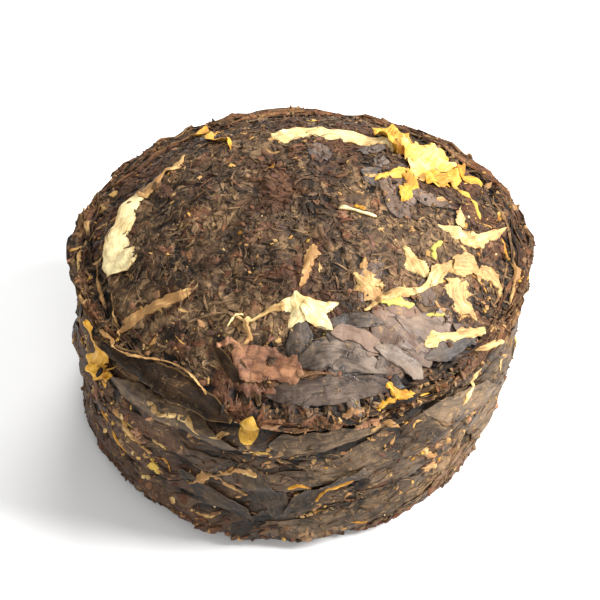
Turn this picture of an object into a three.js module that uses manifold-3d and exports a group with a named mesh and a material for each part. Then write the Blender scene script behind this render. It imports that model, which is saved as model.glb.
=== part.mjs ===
// A pu-erh tuocha: one small nest of pressed tea, made by squeezing damp leaves in a cloth.
//
// It is one piece. A shallow dome of matted leaf meets a wrapped side wall at a thin torn lip, the
// wall narrows to a flat foot, and the foot has the hollow that is pressed into a nest of tea.
// Leaf scraps, stalk slivers and pale bud scales lie on the outside, pressed in but standing proud.
//
// Millimetres, +Z up. The origin lies in the foot's plane, under the middle of the part's box.
// A place on the skin is given by two numbers: the azimuth in degrees, counter-clockwise from +X,
// and the distance along the skin from the top of the dome, here called `along`.

import * as THREE from "three";
import { mergeVertices } from "three/addons/utils/BufferGeometryUtils.js";
import Module from "manifold-3d";

const wasm = await Module();
wasm.setup();

const TURN = 2 * Math.PI;
const DEGREE = Math.PI / 180;
const GOLDEN_TURN = TURN * 0.618034; // spreads places evenly round a circle

// ---- Driving dimensions of the pressed body ----
const DOME_RADIUS = 13.1; // at the dome's edge, where the lip is
const DOME_RISE = 5.8; // from the dome's edge to its top
const WALL_HEIGHT = 11.8; // from the foot to the dome's edge
const BASE_RADIUS = 11.75; // at the foot, before its edge is rounded
const BASE_LEAN = -1.1; // the foot's middle lies this far along X from the dome's axis
const FOOT_EDGE = 1.0; // rounding between wall and foot
const HOLLOW_RADIUS = 5.7; // the pressed hollow, at its mouth
const HOLLOW_DEPTH = 6.0;
const HOLLOW_EDGE = 0.7; // bevel round the hollow's mouth
const AXIS_SHIFT = { x: 0.116, y: 0.079 }; // the dome's axis, from the middle of the part's box

// ---- Relief of the skin ----
const LUMP_HEIGHT = 0.12; // soft unevenness all over
const LIP_OUT = 0.55; // how far the torn lip stands out
const LIP_HALF_WIDTH = 0.55;
const CREVICE_DEPTH = 0.35; // the shadow line under the lip
const CREVICE_DROP = 1.0; // how far it lies below the lip
const CREVICE_HALF_WIDTH = 0.5;
const WRAP_PITCH = 2.8; // from one wrapped layer's edge to the next, down the wall
const WRAP_STEP = 0.34; // how far each layer stands over the one below
const WRAP_STARTS = 3; // layers that climb together round the wall
const PLATE_COUNT = 64; // pressed leaves that show as low overlapping plates
const PLATE_SEED = 77;
const PLATE_STEP = 0.24; // how far a plate's raised end stands out
const PLATE_HALF_LENGTH = [1.8, 3.8];
const PLATE_HALF_WIDTH = [0.9, 1.8];
const PLATE_COVER = 0.7; // share of the relief below that a plate hides

// ---- How finely the body is cut ----
const SEGMENTS = 76;
const DOME_ROWS = 12;
const LIP_ROWS = 6;
const WALL_ROWS = 10;
const EDGE_ROWS = 3;
const HOLLOW_ROWS = 5;
const LIP_BAND_ABOVE = 1.0; // the finely cut band round the lip
const LIP_BAND_BELOW = 1.5;

// ---- Worked out from them ----
const SPHERE = (DOME_RADIUS ** 2 + DOME_RISE ** 2) / (2 * DOME_RISE);
const SPHERE_CENTRE = WALL_HEIGHT + DOME_RISE - SPHERE;
const DOME_ARC = SPHERE * Math.asin(DOME_RADIUS / SPHERE);
const SKIN_END = DOME_ARC + WALL_HEIGHT - FOOT_EDGE;

// ---- Scraps that lie on the skin ----
const SCRAP_SINK = 0.35; // how deep each is pressed in
const SCRAP_CELL = 1.1; // length of one cell of a scrap
const EDGE_DROOP = 0.45; // share of its height that a scrap loses at its edges

/** Outlines of a scrap: its width from end to end, as a share of its full width. */
const OUTLINES = {
  strip: (t) => Math.min(1, 2.2 * Math.sin(Math.PI * t)) * (0.85 + 0.15 * Math.sin(9 * t)),
  spindle: (t) => Math.sin(Math.PI * t) ** 0.7,
  club: (t) => (0.35 + 0.65 * smoothRise(0.1, 0.6, t)) * Math.min(1, 3 * Math.sin(Math.PI * t)),
  wedge: (t) => (1 - 0.8 * t) * Math.min(1, 3 * Math.sin(Math.PI * t)),
  leaf: (t) => Math.sin(Math.PI * t) ** 0.5 * (0.9 + 0.1 * Math.sin(14 * t)),
};

/** The scraps that stand out on the best side. Each runs from one place on the skin to another. */
const NAMED_SCRAPS = [
  // Straw and cream scraps high on the left and along the back of the dome.
  { from: [140, 9.8], to: [164, 10.4], width: 0.9, outline: "strip" },
  { from: [160, 10.2], to: [193, 11.7], width: 2.0, outline: "club", bow: 0.3 },
  { from: [128, 11.5], to: [113, 8.5], width: 0.5, outline: "strip" },
  { from: [108, 6.2], to: [47, 7.6], width: 1.6, outline: "strip", bow: -1.6, stand: 0.6 },
  // The crumpled yellow bloom: petals, a tail and a lobe.
  { from: [30, 9.4], to: [57, 11.9], width: 2.3, outline: "leaf", stand: 0.9 },
  { from: [42, 9.6], to: [30, 12.0], width: 2.2, outline: "leaf", stand: 0.8 },
  { from: [45, 10.0], to: [15, 7.5], width: 2.2, outline: "leaf", stand: 0.8 },
  { from: [25, 7.4], to: [22, 4.6], width: 0.6, outline: "spindle", stand: 0.5 },
  { from: [20, 7.8], to: [6, 5.9], width: 0.9, outline: "leaf", stand: 0.5 },
  // The middle of the dome: a sliver, a tan strip and the cream star with its tail.
  { from: [335, 2.4], to: [343, 4.7], width: 0.35, outline: "spindle" },
  { from: [280, 4.1], to: [267, 7.0], width: 0.8, outline: "strip" },
  { from: [257, 8.1], to: [286, 8.5], width: 1.5, outline: "leaf", stand: 0.4 },
  { from: [262, 9.0], to: [279, 7.2], width: 1.0, outline: "spindle", stand: 0.4 },
  { from: [277, 9.4], to: [266, 7.0], width: 1.1, outline: "spindle", stand: 0.4 },
  { from: [259, 8.0], to: [250, 9.5], width: 0.4, outline: "spindle" },
  // The branching cluster low on the right of the dome.
  { from: [352, 8.4], to: [8, 13.2], width: 0.9, outline: "strip", bow: 0.4 },
  { from: [331, 6.8], to: [331, 9.4], width: 1.0, outline: "leaf" },
  { from: [295, 8.7], to: [329, 9.3], width: 0.7, outline: "strip", bow: 0.2 },
  { from: [326, 9.2], to: [345, 13.5], width: 1.0, outline: "strip", bow: -0.9 },
  { from: [325, 9.8], to: [330, 13.1], width: 1.9, outline: "wedge" },
  { from: [310, 5.6], to: [303, 8.0], width: 1.0, outline: "wedge" },
  { from: [309, 12.3], to: [332, 13.9], width: 0.8, outline: "strip", bow: 0.3 },
  { from: [320, 14.2], to: [336, 15.7], width: 0.6, outline: "strip" },
  // The orange-brown strip on the left, and broad pressed leaves at the front of the dome.
  { from: [212, 14.0], to: [221, 8.9], width: 0.8, outline: "strip" },
  { from: [251, 11.7], to: [271, 11.9], width: 2.3, outline: "leaf", stand: 0.25 },
  { from: [270, 11.3], to: [291, 11.2], width: 1.5, outline: "leaf", stand: 0.25 },
  { from: [290, 10.3], to: [313, 13.4], width: 2.6, outline: "leaf", stand: 0.3 },
  { from: [237, 11.2], to: [258, 14.0], width: 0.8, outline: "spindle", stand: 0.5, bow: -0.3 },
  // The leaf that folds open at the lip, with a seed case at its end.
  { from: [218, 14.2], to: [250, 14.3], width: 1.7, outline: "spindle", stand: 0.75, bow: -0.9 },
  { from: [257, 14.7], to: [257, 16.4], width: 0.9, outline: "leaf", stand: 0.6 },
  // Scraps on the wall.
  { from: [206, 15.4], to: [210, 17.9], width: 1.1, outline: "wedge" },
  { from: [233, 16.6], to: [252, 16.3], width: 0.6, outline: "strip" },
  { from: [276, 21.9], to: [287, 20.7], width: 0.5, outline: "strip" },
  { from: [229, 21.0], to: [234, 22.4], width: 1.2, outline: "leaf" },
  { from: [209, 20.9], to: [225, 22.7], width: 0.5, outline: "strip" },
  { from: [315, 16.6], to: [326, 15.5], width: 0.7, outline: "strip" },
];

// ---- The scraps that a rule scatters over the rest of the skin ----
const SCATTER_COUNT = 22;
const SCATTER_SEED = 2024;
const SCATTER_BAND = [4.5, SKIN_END - 1.2]; // how far along the skin they lie
const SCATTER_LENGTH = [1.6, 3.6];
const SCATTER_WIDTH = [0.6, 1.3];
const SHOWN_SIDE = [205, 345]; // azimuths that the named scraps have to themselves

/** A repeatable stream of numbers between 0 and 1 (the minimal standard generator). */
function numberStream(seed) {
  let state = seed;
  return () => {
    state = (state * 48271) % 2147483647;
    return state / 2147483647;
  };
}

/** The value that lies `share` of the way through a range. */
function within([low, high], share) {
  return low + (high - low) * share;
}

/** 0 below `low`, 1 above `high`, and a smooth rise between them. */
function smoothRise(low, high, value) {
  const part = Math.min(Math.max((value - low) / (high - low), 0), 1);
  return part * part * (3 - 2 * part);
}

/** A smooth hump, 1 at its middle. */
function hump(distance, halfWidth) {
  return Math.exp(-((distance / halfWidth) ** 2));
}

/** The plain skin at a distance from the top: radius, height and outward tilt from +Z. */
function plainSkin(along) {
  const edgeTilt = DOME_ARC / SPHERE;
  if (along <= DOME_ARC) {
    const tilt = along / SPHERE;
    return {
      radius: SPHERE * Math.sin(tilt),
      height: SPHERE_CENTRE + SPHERE * Math.cos(tilt),
      tilt,
    };
  }
  const down = (along - DOME_ARC) / WALL_HEIGHT;
  const taper = DOME_RADIUS - BASE_RADIUS;
  const wallTilt = Math.PI / 2 + (2 * down * taper) / WALL_HEIGHT;
  const turnedOver = smoothRise(0, LIP_BAND_BELOW, along - DOME_ARC);
  return {
    radius: DOME_RADIUS - taper * down ** 2,
    height: WALL_HEIGHT * (1 - down),
    tilt: edgeTilt + (wallTilt - edgeTilt) * turnedOver,
  };
}

/** Soft lumps all over, from three slow waves. */
function lumpRelief(azimuth, along) {
  const waves = Math.sin(3 * azimuth + 0.45 * along) * Math.sin(0.5 * along + 1.1)
    + 0.7 * Math.sin(5 * azimuth - 0.6 * along + 2.0)
    + 0.5 * Math.sin(7 * azimuth + 0.9 * along);
  return LUMP_HEIGHT * smoothRise(0, 5, along) * waves;
}

/** The torn lip and the crevice under it, which come and go round the edge. */
function lipRelief(azimuth, along) {
  const fullness = 0.7 + 0.2 * Math.sin(3 * azimuth + 0.6) + 0.12 * Math.sin(8 * azimuth + 2.1)
    + 0.1 * Math.sin(17 * azimuth + 0.4);
  const waver = 0.25 * Math.sin(4 * azimuth + 1.2) + 0.15 * Math.sin(11 * azimuth);
  const fromLip = along - DOME_ARC - waver;
  const lip = LIP_OUT * hump(fromLip, LIP_HALF_WIDTH);
  const crevice = CREVICE_DEPTH * hump(fromLip - CREVICE_DROP, CREVICE_HALF_WIDTH);
  return fullness * (lip - crevice);
}

/** The wrapped layers of the wall: each swells downwards and ends in a step. */
function wrapRelief(azimuth, along) {
  const onWall = smoothRise(0.6, 2.4, along - DOME_ARC);
  const wander = 0.3 * Math.sin(2 * azimuth + 1.0) + 0.16 * Math.sin(5 * azimuth + 0.7);
  const layers = (along - DOME_ARC) / WRAP_PITCH + (WRAP_STARTS * azimuth) / TURN + wander;
  const layer = layers - Math.floor(layers);
  const swell = smoothRise(0, 0.8, layer) - smoothRise(0.84, 1, layer);
  return onWall * WRAP_STEP * (swell - 0.5);
}

/** The pressed leaves, spread evenly over the skin and turned every way by a seeded rule. */
function leafPlates() {
  const draw = numberStream(PLATE_SEED);
  return Array.from({ length: PLATE_COUNT }, (_, i) => ({
    centre: new THREE.Vector2(SKIN_END * Math.sqrt((i + 0.5) / PLATE_COUNT), 0)
      .rotateAround(new THREE.Vector2(), i * GOLDEN_TURN),
    heading: draw() * TURN,
    halfLength: within(PLATE_HALF_LENGTH, draw()),
    halfWidth: within(PLATE_HALF_WIDTH, draw()),
  }));
}

const PLATES = leafPlates();

/** Overlapping pressed leaves: each rises to one end and covers most of what is under it. */
function plateRelief(azimuth, along) {
  const place = new THREE.Vector2(along, 0).rotateAround(new THREE.Vector2(), azimuth);
  return PLATES.reduce((below, { centre, heading, halfLength, halfWidth }) => {
    const local = place.clone().sub(centre).rotateAround(new THREE.Vector2(), -heading);
    const lengthwise = local.x / halfLength;
    const reach = Math.hypot(lengthwise, local.y / halfWidth);
    const inside = 1 - smoothRise(0.8, 1.1, reach);
    const rise = PLATE_STEP * (0.5 + 0.5 * lengthwise);
    return below * (1 - PLATE_COVER * inside) + rise * inside;
  }, 0);
}

/** How far the skin stands out from the plain form. */
function relief(azimuth, along) {
  const pressed = plateRelief(azimuth, along) * (1 - hump(along - DOME_ARC, 2 * LIP_HALF_WIDTH));
  return lumpRelief(azimuth, along) + lipRelief(azimuth, along) + wrapRelief(azimuth, along) + pressed;
}

/** A point at an azimuth of a plain ring, moved `out` along the ring's outward tilt. */
function ringPoint({ radius, height, tilt }, azimuth, out) {
  const down = Math.min(1 - height / WALL_HEIGHT, 1);
  const lean = BASE_LEAN * Math.max(down, 0) ** 1.3;
  const reach = radius + out * Math.sin(tilt);
  return new THREE.Vector3(
    AXIS_SHIFT.x + lean + reach * Math.cos(azimuth),
    AXIS_SHIFT.y + reach * Math.sin(azimuth),
    height + out * Math.cos(tilt),
  );
}

/** A solid for joining, from a closed geometry whose corners may be doubled. */
function solidFrom(geometry) {
  geometry.deleteAttribute("normal");
  geometry.deleteAttribute("uv");
  const merged = mergeVertices(geometry, 1e-4);
  const corners = merged.index.array;
  const kept = [];
  for (let i = 0; i < corners.length; i += 3) {
    const [a, b, c] = corners.slice(i, i + 3);
    if (a !== b && b !== c && c !== a) {
      kept.push(a, b, c);
    }
  }
  return new wasm.Manifold(new wasm.Mesh({
    numProp: 3,
    vertProperties: merged.attributes.position.array,
    triVerts: new Uint32Array(kept),
  }));
}

/** A geometry for showing, from a joined solid. */
function geometryFrom(solid) {
  const mesh = solid.getMesh();
  const geometry = new THREE.BufferGeometry();
  geometry.setAttribute("position", new THREE.BufferAttribute(mesh.vertProperties, 3));
  geometry.setIndex(new THREE.BufferAttribute(mesh.triVerts, 1));
  geometry.computeVertexNormals();
  return geometry;
}

/** Evenly spaced values that end at `last` and start one step after `first`. */
function steps(first, last, count) {
  return Array.from({ length: count }, (_, i) => first + ((last - first) * (i + 1)) / count);
}

/** The rings of the skin, from the top of the dome down to where the foot's edge begins. */
function skinRings() {
  const bandTop = DOME_ARC - LIP_BAND_ABOVE;
  const bandEnd = DOME_ARC + LIP_BAND_BELOW;
  const places = [
    0,
    ...steps(0, bandTop, DOME_ROWS),
    ...steps(bandTop, bandEnd, LIP_ROWS),
    ...steps(bandEnd, SKIN_END, WALL_ROWS),
  ];
  return places.map((along) => ({ ...plainSkin(along), along, share: 1 }));
}

/** The rings of the rounded edge, the flat foot and the hollow, where the relief dies away. */
function footRings() {
  const start = plainSkin(SKIN_END);
  const edge = steps(0, Math.PI / 2, EDGE_ROWS).map((turned) => ({
    radius: start.radius - FOOT_EDGE * (1 - Math.cos(turned)),
    height: FOOT_EDGE * (1 - Math.sin(turned)),
    share: Math.cos(turned),
  }));
  const mouth = { radius: HOLLOW_RADIUS + HOLLOW_EDGE, height: 0, share: 0 };
  const hollow = [0, ...steps(0, Math.PI / 2, HOLLOW_ROWS)].map((turned) => ({
    radius: HOLLOW_RADIUS * Math.cos(turned),
    height: HOLLOW_EDGE + (HOLLOW_DEPTH - HOLLOW_EDGE) * Math.sin(turned),
    share: 0,
  }));
  return [...edge, mouth, ...hollow].map((ring) => ({
    ...ring,
    tilt: Math.PI / 2,
    along: SKIN_END,
  }));
}

/** The pressed body: a lathe of the rings, each point then moved out by the relief. */
function bodySolid() {
  const rings = [...skinRings(), ...footRings()].reverse();
  const outline = rings.map((ring) => new THREE.Vector2(ring.radius, ring.height));
  const lathe = new THREE.LatheGeometry(outline, SEGMENTS);
  const position = lathe.attributes.position;
  for (let segment = 0; segment <= SEGMENTS; segment += 1) {
    const azimuth = ((segment % SEGMENTS) * TURN) / SEGMENTS;
    rings.forEach((ring, index) => {
      const onAxis = ring.radius < 1e-6;
      const out = onAxis ? 0 : ring.share * relief(azimuth, ring.along);
      const plain = onAxis ? { ...ring, radius: 0, tilt: 0 } : ring;
      const point = ringPoint(plain, azimuth, out);
      position.setXYZ(segment * rings.length + index, point.x, point.y, point.z);
    });
  }
  return solidFrom(lathe);
}

/**
 * One scrap, lying on the skin: a thin box that is bent along its run from `from` to `to`.
 * The run is a straight line on the unrolled skin, bowed sideways by `bow` at its middle.
 */
function scrapSolid({ from, to, width, outline, bow = 0, stand = 0.35 }) {
  const [start, end] = [from, to].map(([azimuth, along]) => (
    new THREE.Vector2(along, 0).rotateAround(new THREE.Vector2(), azimuth * DEGREE)
  ));
  const run = end.clone().sub(start);
  const side = new THREE.Vector2(-run.y, run.x).normalize();
  const cells = Math.max(3, Math.min(9, Math.round(run.length() / SCRAP_CELL)));
  const box = new THREE.BoxGeometry(1, 1, 1, cells, 2, 1);
  const position = box.attributes.position;
  for (let i = 0; i < position.count; i += 1) {
    const t = position.getX(i) + 0.5;
    const across = 2 * position.getY(i);
    const isTop = position.getZ(i) > 0;
    const halfWidth = 0.5 * width * Math.max(OUTLINES[outline](t), 0.15);
    const ragged = 1 + 0.12 * Math.sin(11 * t + 2 * across + start.x);
    const offset = across * halfWidth * ragged + 4 * bow * t * (1 - t);
    const flat = start.clone().addScaledVector(run, t).addScaledVector(side, offset);
    const azimuth = flat.angle();
    const along = flat.length();
    const height = stand * (1 - EDGE_DROOP * Math.abs(across)) * (0.9 + 0.1 * Math.sin(7 * t));
    const out = relief(azimuth, along) + (isTop ? height : -SCRAP_SINK);
    const point = ringPoint(plainSkin(along), azimuth, out);
    position.setXYZ(i, point.x, point.y, point.z);
  }
  return solidFrom(box);
}

/** Scraps for the sides that the named ones leave bare, spread by the golden turn. */
function scatteredScraps() {
  const draw = numberStream(SCATTER_SEED);
  const kinds = Object.keys(OUTLINES);
  const scraps = [];
  for (let i = 0; scraps.length < SCATTER_COUNT; i += 1) {
    const azimuth = ((i * GOLDEN_TURN) % TURN) / DEGREE;
    const along = within(SCATTER_BAND, Math.sqrt(draw()));
    const heading = draw() * TURN;
    const length = within(SCATTER_LENGTH, draw());
    const width = within(SCATTER_WIDTH, draw());
    const outline = kinds[Math.floor(draw() * kinds.length)];
    if (azimuth < SHOWN_SIDE[0] || azimuth > SHOWN_SIDE[1]) {
      const turned = ((length / along) * Math.cos(heading)) / DEGREE;
      const to = [azimuth + turned, Math.min(along + length * Math.sin(heading), SKIN_END - 0.6)];
      scraps.push({ from: [azimuth, along], to, width, outline });
    }
  }
  return scraps;
}

/** The whole tuocha: the body with every scrap pressed into it. */
function tuochaMesh() {
  const scraps = [...NAMED_SCRAPS, ...scatteredScraps()];
  const solid = scraps.reduce((whole, scrap) => whole.add(scrapSolid(scrap)), bodySolid());
  const material = new THREE.MeshStandardMaterial({
    color: 0x3a2a20,
    roughness: 0.62,
    metalness: 0,
  });
  const mesh = new THREE.Mesh(geometryFrom(solid), material);
  mesh.name = "tuocha";
  return mesh;
}

export default new THREE.Group().add(tuochaMesh());
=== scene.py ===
"""The looks of a pu-erh tuocha, a small nest of pressed tea, around its solid.

Sizes are in millimetres until a mesh is made. A place on the skin is an azimuth in radians,
counter-clockwise from +X, and the distance along the skin from the top of the dome (`along`).
Leaves are laid one after another on a height map of the skin, so each lies over those before it.
"""

import logging
import math
from collections.abc import Iterator
from dataclasses import dataclass, field
from enum import Enum

import bpy
import numpy as np
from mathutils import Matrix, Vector


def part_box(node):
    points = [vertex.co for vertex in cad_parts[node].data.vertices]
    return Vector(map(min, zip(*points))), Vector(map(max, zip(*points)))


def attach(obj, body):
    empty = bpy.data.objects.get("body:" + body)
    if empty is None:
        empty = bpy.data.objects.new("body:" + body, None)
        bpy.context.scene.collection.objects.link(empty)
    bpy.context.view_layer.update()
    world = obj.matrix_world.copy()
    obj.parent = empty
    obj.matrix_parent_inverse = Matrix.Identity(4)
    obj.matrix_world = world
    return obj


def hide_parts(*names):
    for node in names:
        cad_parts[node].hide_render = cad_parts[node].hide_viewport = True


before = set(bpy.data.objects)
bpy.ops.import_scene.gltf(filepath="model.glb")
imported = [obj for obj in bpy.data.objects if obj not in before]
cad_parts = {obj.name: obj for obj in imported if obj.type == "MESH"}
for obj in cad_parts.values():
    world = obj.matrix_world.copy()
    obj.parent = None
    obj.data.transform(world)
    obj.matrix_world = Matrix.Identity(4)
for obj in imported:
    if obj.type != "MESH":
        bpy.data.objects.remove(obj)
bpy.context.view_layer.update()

Array = np.ndarray
Colour = tuple[float, float, float]
Draw = np.random.Generator
Faces = tuple[Array, Array]
Piece = bpy.types.Object
Socket = bpy.types.NodeSocket
Tree = bpy.types.NodeTree

LOG = logging.getLogger("tuocha")
MM = 0.001
TURN = 2.0 * math.pi
GOLDEN_TURN = TURN * 0.618034
BODY = "root"
NODE = "tuocha"


def smooth_rise(low: float, high: float, value: Array) -> Array:
    """0 up to `low`, 1 from `high` on, and a smooth rise between: 3t^2 - 2t^3."""
    part = np.clip((value - low) / (high - low), 0.0, 1.0)
    return part * part * (3.0 - 2.0 * part)


def hump(distance: Array, half_width: float) -> Array:
    """A smooth hump, 1 in its middle: e to the power of -(distance / half width)^2."""
    return np.exp(-((distance / half_width) ** 2))


# The form of the pressed body


@dataclass(frozen=True)
class Skin:
    """The plain form of the nest and its large relief, the same as the solid's."""

    dome_radius: float = 13.1
    dome_rise: float = 5.8
    wall_height: float = 11.8
    base_radius: float = 11.75
    base_lean: float = -1.1
    foot_edge: float = 1.0
    hollow_radius: float = 5.7
    hollow_depth: float = 6.0
    hollow_edge: float = 0.7
    axis_shift: tuple[float, float] = (0.116, 0.079)
    lump_height: float = 0.12
    lip_out: float = 0.45
    lip_half_width: float = 0.55
    crevice_depth: float = 0.45
    crevice_drop: float = 1.0
    crevice_half_width: float = 0.45
    wrap_pitch: float = 2.8
    wrap_step: float = 0.34
    wrap_starts: int = 3
    lip_turn: float = 1.5
    foot_recess: float = 0.28
    split_depth: float = 1.0
    split_middle: float = math.radians(233.0)
    split_half_turn: float = 0.38
    split_drop: float = 1.15
    split_bend: float = 0.4
    split_half_width: float = 0.34
    dent_height: float = 0.08
    dents: Array = field(
        default_factory=lambda: crossed_waves(np.random.default_rng(5), 3.2, 9), repr=False
    )

    @property
    def sphere(self) -> float:
        """Radius of the sphere that the dome is a cap of."""
        return (self.dome_radius**2 + self.dome_rise**2) / (2.0 * self.dome_rise)

    @property
    def dome_arc(self) -> float:
        """Distance along the skin from the top of the dome to its edge."""
        return self.sphere * math.asin(self.dome_radius / self.sphere)

    @property
    def wall_end(self) -> float:
        """Distance along the skin to where the foot's edge begins to round."""
        return self.dome_arc + self.wall_height - self.foot_edge

    def outline(self) -> tuple[Array, Array, Array, Array]:
        """The whole outline from the top of the dome to the top of the hollow.

        The dome is a circular arc, the wall's radius falls with the square of the depth, the
        foot's edge is a quarter circle, and the hollow is a quarter ellipse.

        Returns:
            Radius, height, outward tilt from +Z, and distance along, at close steps.
        """
        turn = np.linspace(0.0, self.dome_arc / self.sphere, 60)
        centre = self.wall_height + self.dome_rise - self.sphere
        dome = np.stack([self.sphere * np.sin(turn), centre + self.sphere * np.cos(turn)], 1)
        down = np.linspace(0.0, (self.wall_end - self.dome_arc) / self.wall_height, 60)[1:]
        taper = self.dome_radius - self.base_radius
        wall = np.stack([self.dome_radius - taper * down**2, self.wall_height * (1 - down)], 1)
        quarter = np.linspace(0.0, math.pi / 2, 20)[1:]
        inwards, height = (self.foot_edge * (1 - f(quarter)) for f in (np.cos, np.sin))
        edge = np.stack([wall[-1, 0] - inwards, height], 1)
        mouth = self.hollow_radius + self.hollow_edge
        foot = np.stack([np.linspace(edge[-1, 0], mouth, 20)[1:], np.zeros(19)], 1)
        rise = np.linspace(0.0, math.pi / 2, 40)
        height = self.hollow_edge + (self.hollow_depth - self.hollow_edge) * np.sin(rise)
        hollow = np.stack([self.hollow_radius * np.cos(rise), height], 1)
        points = np.concatenate([dome, wall, edge, foot, hollow])
        along = np.concatenate([[0.0], np.cumsum(np.hypot(*np.diff(points, axis=0).T))])
        run = np.gradient(points, along, axis=0)
        tilt = np.unwrap(np.arctan2(-run[:, 1], run[:, 0]))
        return points[:, 0], points[:, 1], tilt, along

    def relief(self, azimuth: Array, along: Array) -> Array:
        """Lumps, the lip with its crevice, the wall's wrapped layers, and the split at the left.

        The lumps are a sum of sines, the dome's dents are crossed waves, the lip and crevices
        are humps round the edge, a layer is a slow swell and a quick fall, and the foot is
        recessed for the leaves that lie on it.

        Args:
            azimuth, along: Places on the skin.

        Returns:
            How far the skin stands out from the plain form.
        """
        from_edge = along - self.dome_arc
        lumps = np.sin(3 * azimuth + 0.45 * along) * np.sin(0.5 * along + 1.1)
        lumps = lumps + 0.7 * np.sin(5 * azimuth - 0.6 * along + 2.0)
        lumps = lumps + 0.5 * np.sin(7 * azimuth + 0.9 * along)
        fullness = 0.7 + 0.2 * np.sin(3 * azimuth + 0.6) + 0.12 * np.sin(8 * azimuth + 2.1)
        fullness = fullness + 0.1 * np.sin(17 * azimuth + 0.4)
        waver = 0.25 * np.sin(4 * azimuth + 1.2) + 0.15 * np.sin(11 * azimuth)
        lip = self.lip_out * hump(from_edge - waver, self.lip_half_width)
        below_lip = from_edge - waver - self.crevice_drop
        crevice = self.crevice_depth * hump(below_lip, self.crevice_half_width)
        wander = 0.3 * np.sin(2 * azimuth + 1.0) + 0.16 * np.sin(5 * azimuth + 0.7)
        layers = from_edge / self.wrap_pitch + self.wrap_starts * azimuth / TURN + wander
        layer = layers - np.floor(layers)
        swell = smooth_rise(0.0, 0.8, layer) - smooth_rise(0.84, 1.0, layer)
        wrap = smooth_rise(0.6, 2.4, from_edge) * self.wrap_step * (swell - 0.5)
        apart = (azimuth - self.split_middle + math.pi) % TURN - math.pi
        split_line = self.split_drop - self.split_bend * hump(apart, 0.5 * self.split_half_turn)
        split = self.split_depth * hump(from_edge - split_line, self.split_half_width)
        split = split * smooth_rise(self.split_half_turn, 0.5 * self.split_half_turn, np.abs(apart))
        under = smooth_rise(self.wall_end, self.wall_end + self.foot_edge, along)
        soft = self.lump_height * smooth_rise(0.0, 5.0, along) * lumps
        dented = crumpled(self.dents, along * np.cos(azimuth), along * np.sin(azimuth))
        soft = soft + self.dent_height * dented * smooth_rise(-0.5, -2.0, from_edge)
        above = soft + fullness * (lip - crevice) + wrap - split
        return (1.0 - under) * above - self.foot_recess * under


CLUSTERS = ((267, 18.0), (276, 18.4), (304, 19.8), (256, 19.4), (246, 21.0), (291, 16.2),
            (222, 20.0), (283, 15.3), (230, 21.8), (313, 22.3), (198, 17.5), (160, 10.0))


def clustered(azimuth: Array, along: Array) -> Array:
    """How thickly scraps lie, from 0 to 1.

    They lie where three crossed waves add up, at the right of the dome, and at the clusters.

    Args:
        azimuth, along: Places on the skin.

    Returns:
        The share at each.
    """
    waves = np.sin(3 * azimuth + 0.9 * along + 4.0) + 0.8 * np.sin(7 * azimuth - 0.7 * along + 2.0)
    waves = waves + 0.7 * np.sin(16 * azimuth + 1.6 * along)
    right, up = along * np.cos(azimuth), along * np.sin(azimuth)
    waves = waves - 0.5 + 1.6 * hump(right - 11.0, 4.5) * hump(up + 1.5, 6.0)
    for degrees, middle in CLUSTERS:
        apart = (azimuth - math.radians(degrees) + math.pi) % TURN - math.pi
        waves = waves + 3.0 * hump(12.5 * apart, 1.3) * hump(along - middle, 0.8)
    return 0.12 + 0.88 * smooth_rise(0.1, 1.5, waves)


def box_blur(values: Array, reach: int, wraps: bool = False) -> Array:
    """Averages each cell of a map with its neighbours, by running sums.

    Args:
        values: The map.
        reach: How many cells away the furthest neighbour is.
        wraps: Whether the last column is beside the first.

    Returns:
        The averaged map.
    """
    size = 2 * reach + 1
    padded = np.pad(values, ((reach + 1, reach), (0, 0)), mode="edge")
    sums = np.cumsum(padded, axis=0)
    values = (sums[size:] - sums[:-size]) / size
    padded = np.pad(values, ((0, 0), (reach + 1, reach)), mode="wrap" if wraps else "edge")
    sums = np.cumsum(padded, axis=1)
    return (sums[:, size:] - sums[:, :-size]) / size


def between_cells(values: Array, row: Array, column: Array, next_column: Array) -> Array:
    """Reads a map between its cells, by the four nearest ones.

    Args:
        values: The map.
        row, column: Places, with their fractions.
        next_column: The whole column to the right of each.

    Returns:
        The map's values there.
    """
    low_row = np.minimum(row.astype(int), values.shape[0] - 2)
    low_column = column.astype(int)
    down, across = row - low_row, column - low_column
    top = values[low_row, low_column] * (1 - across) + values[low_row, next_column] * across
    low = values[low_row + 1, low_column] * (1 - across)
    low = low + values[low_row + 1, next_column] * across
    return top * (1 - down) + low * down


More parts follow.
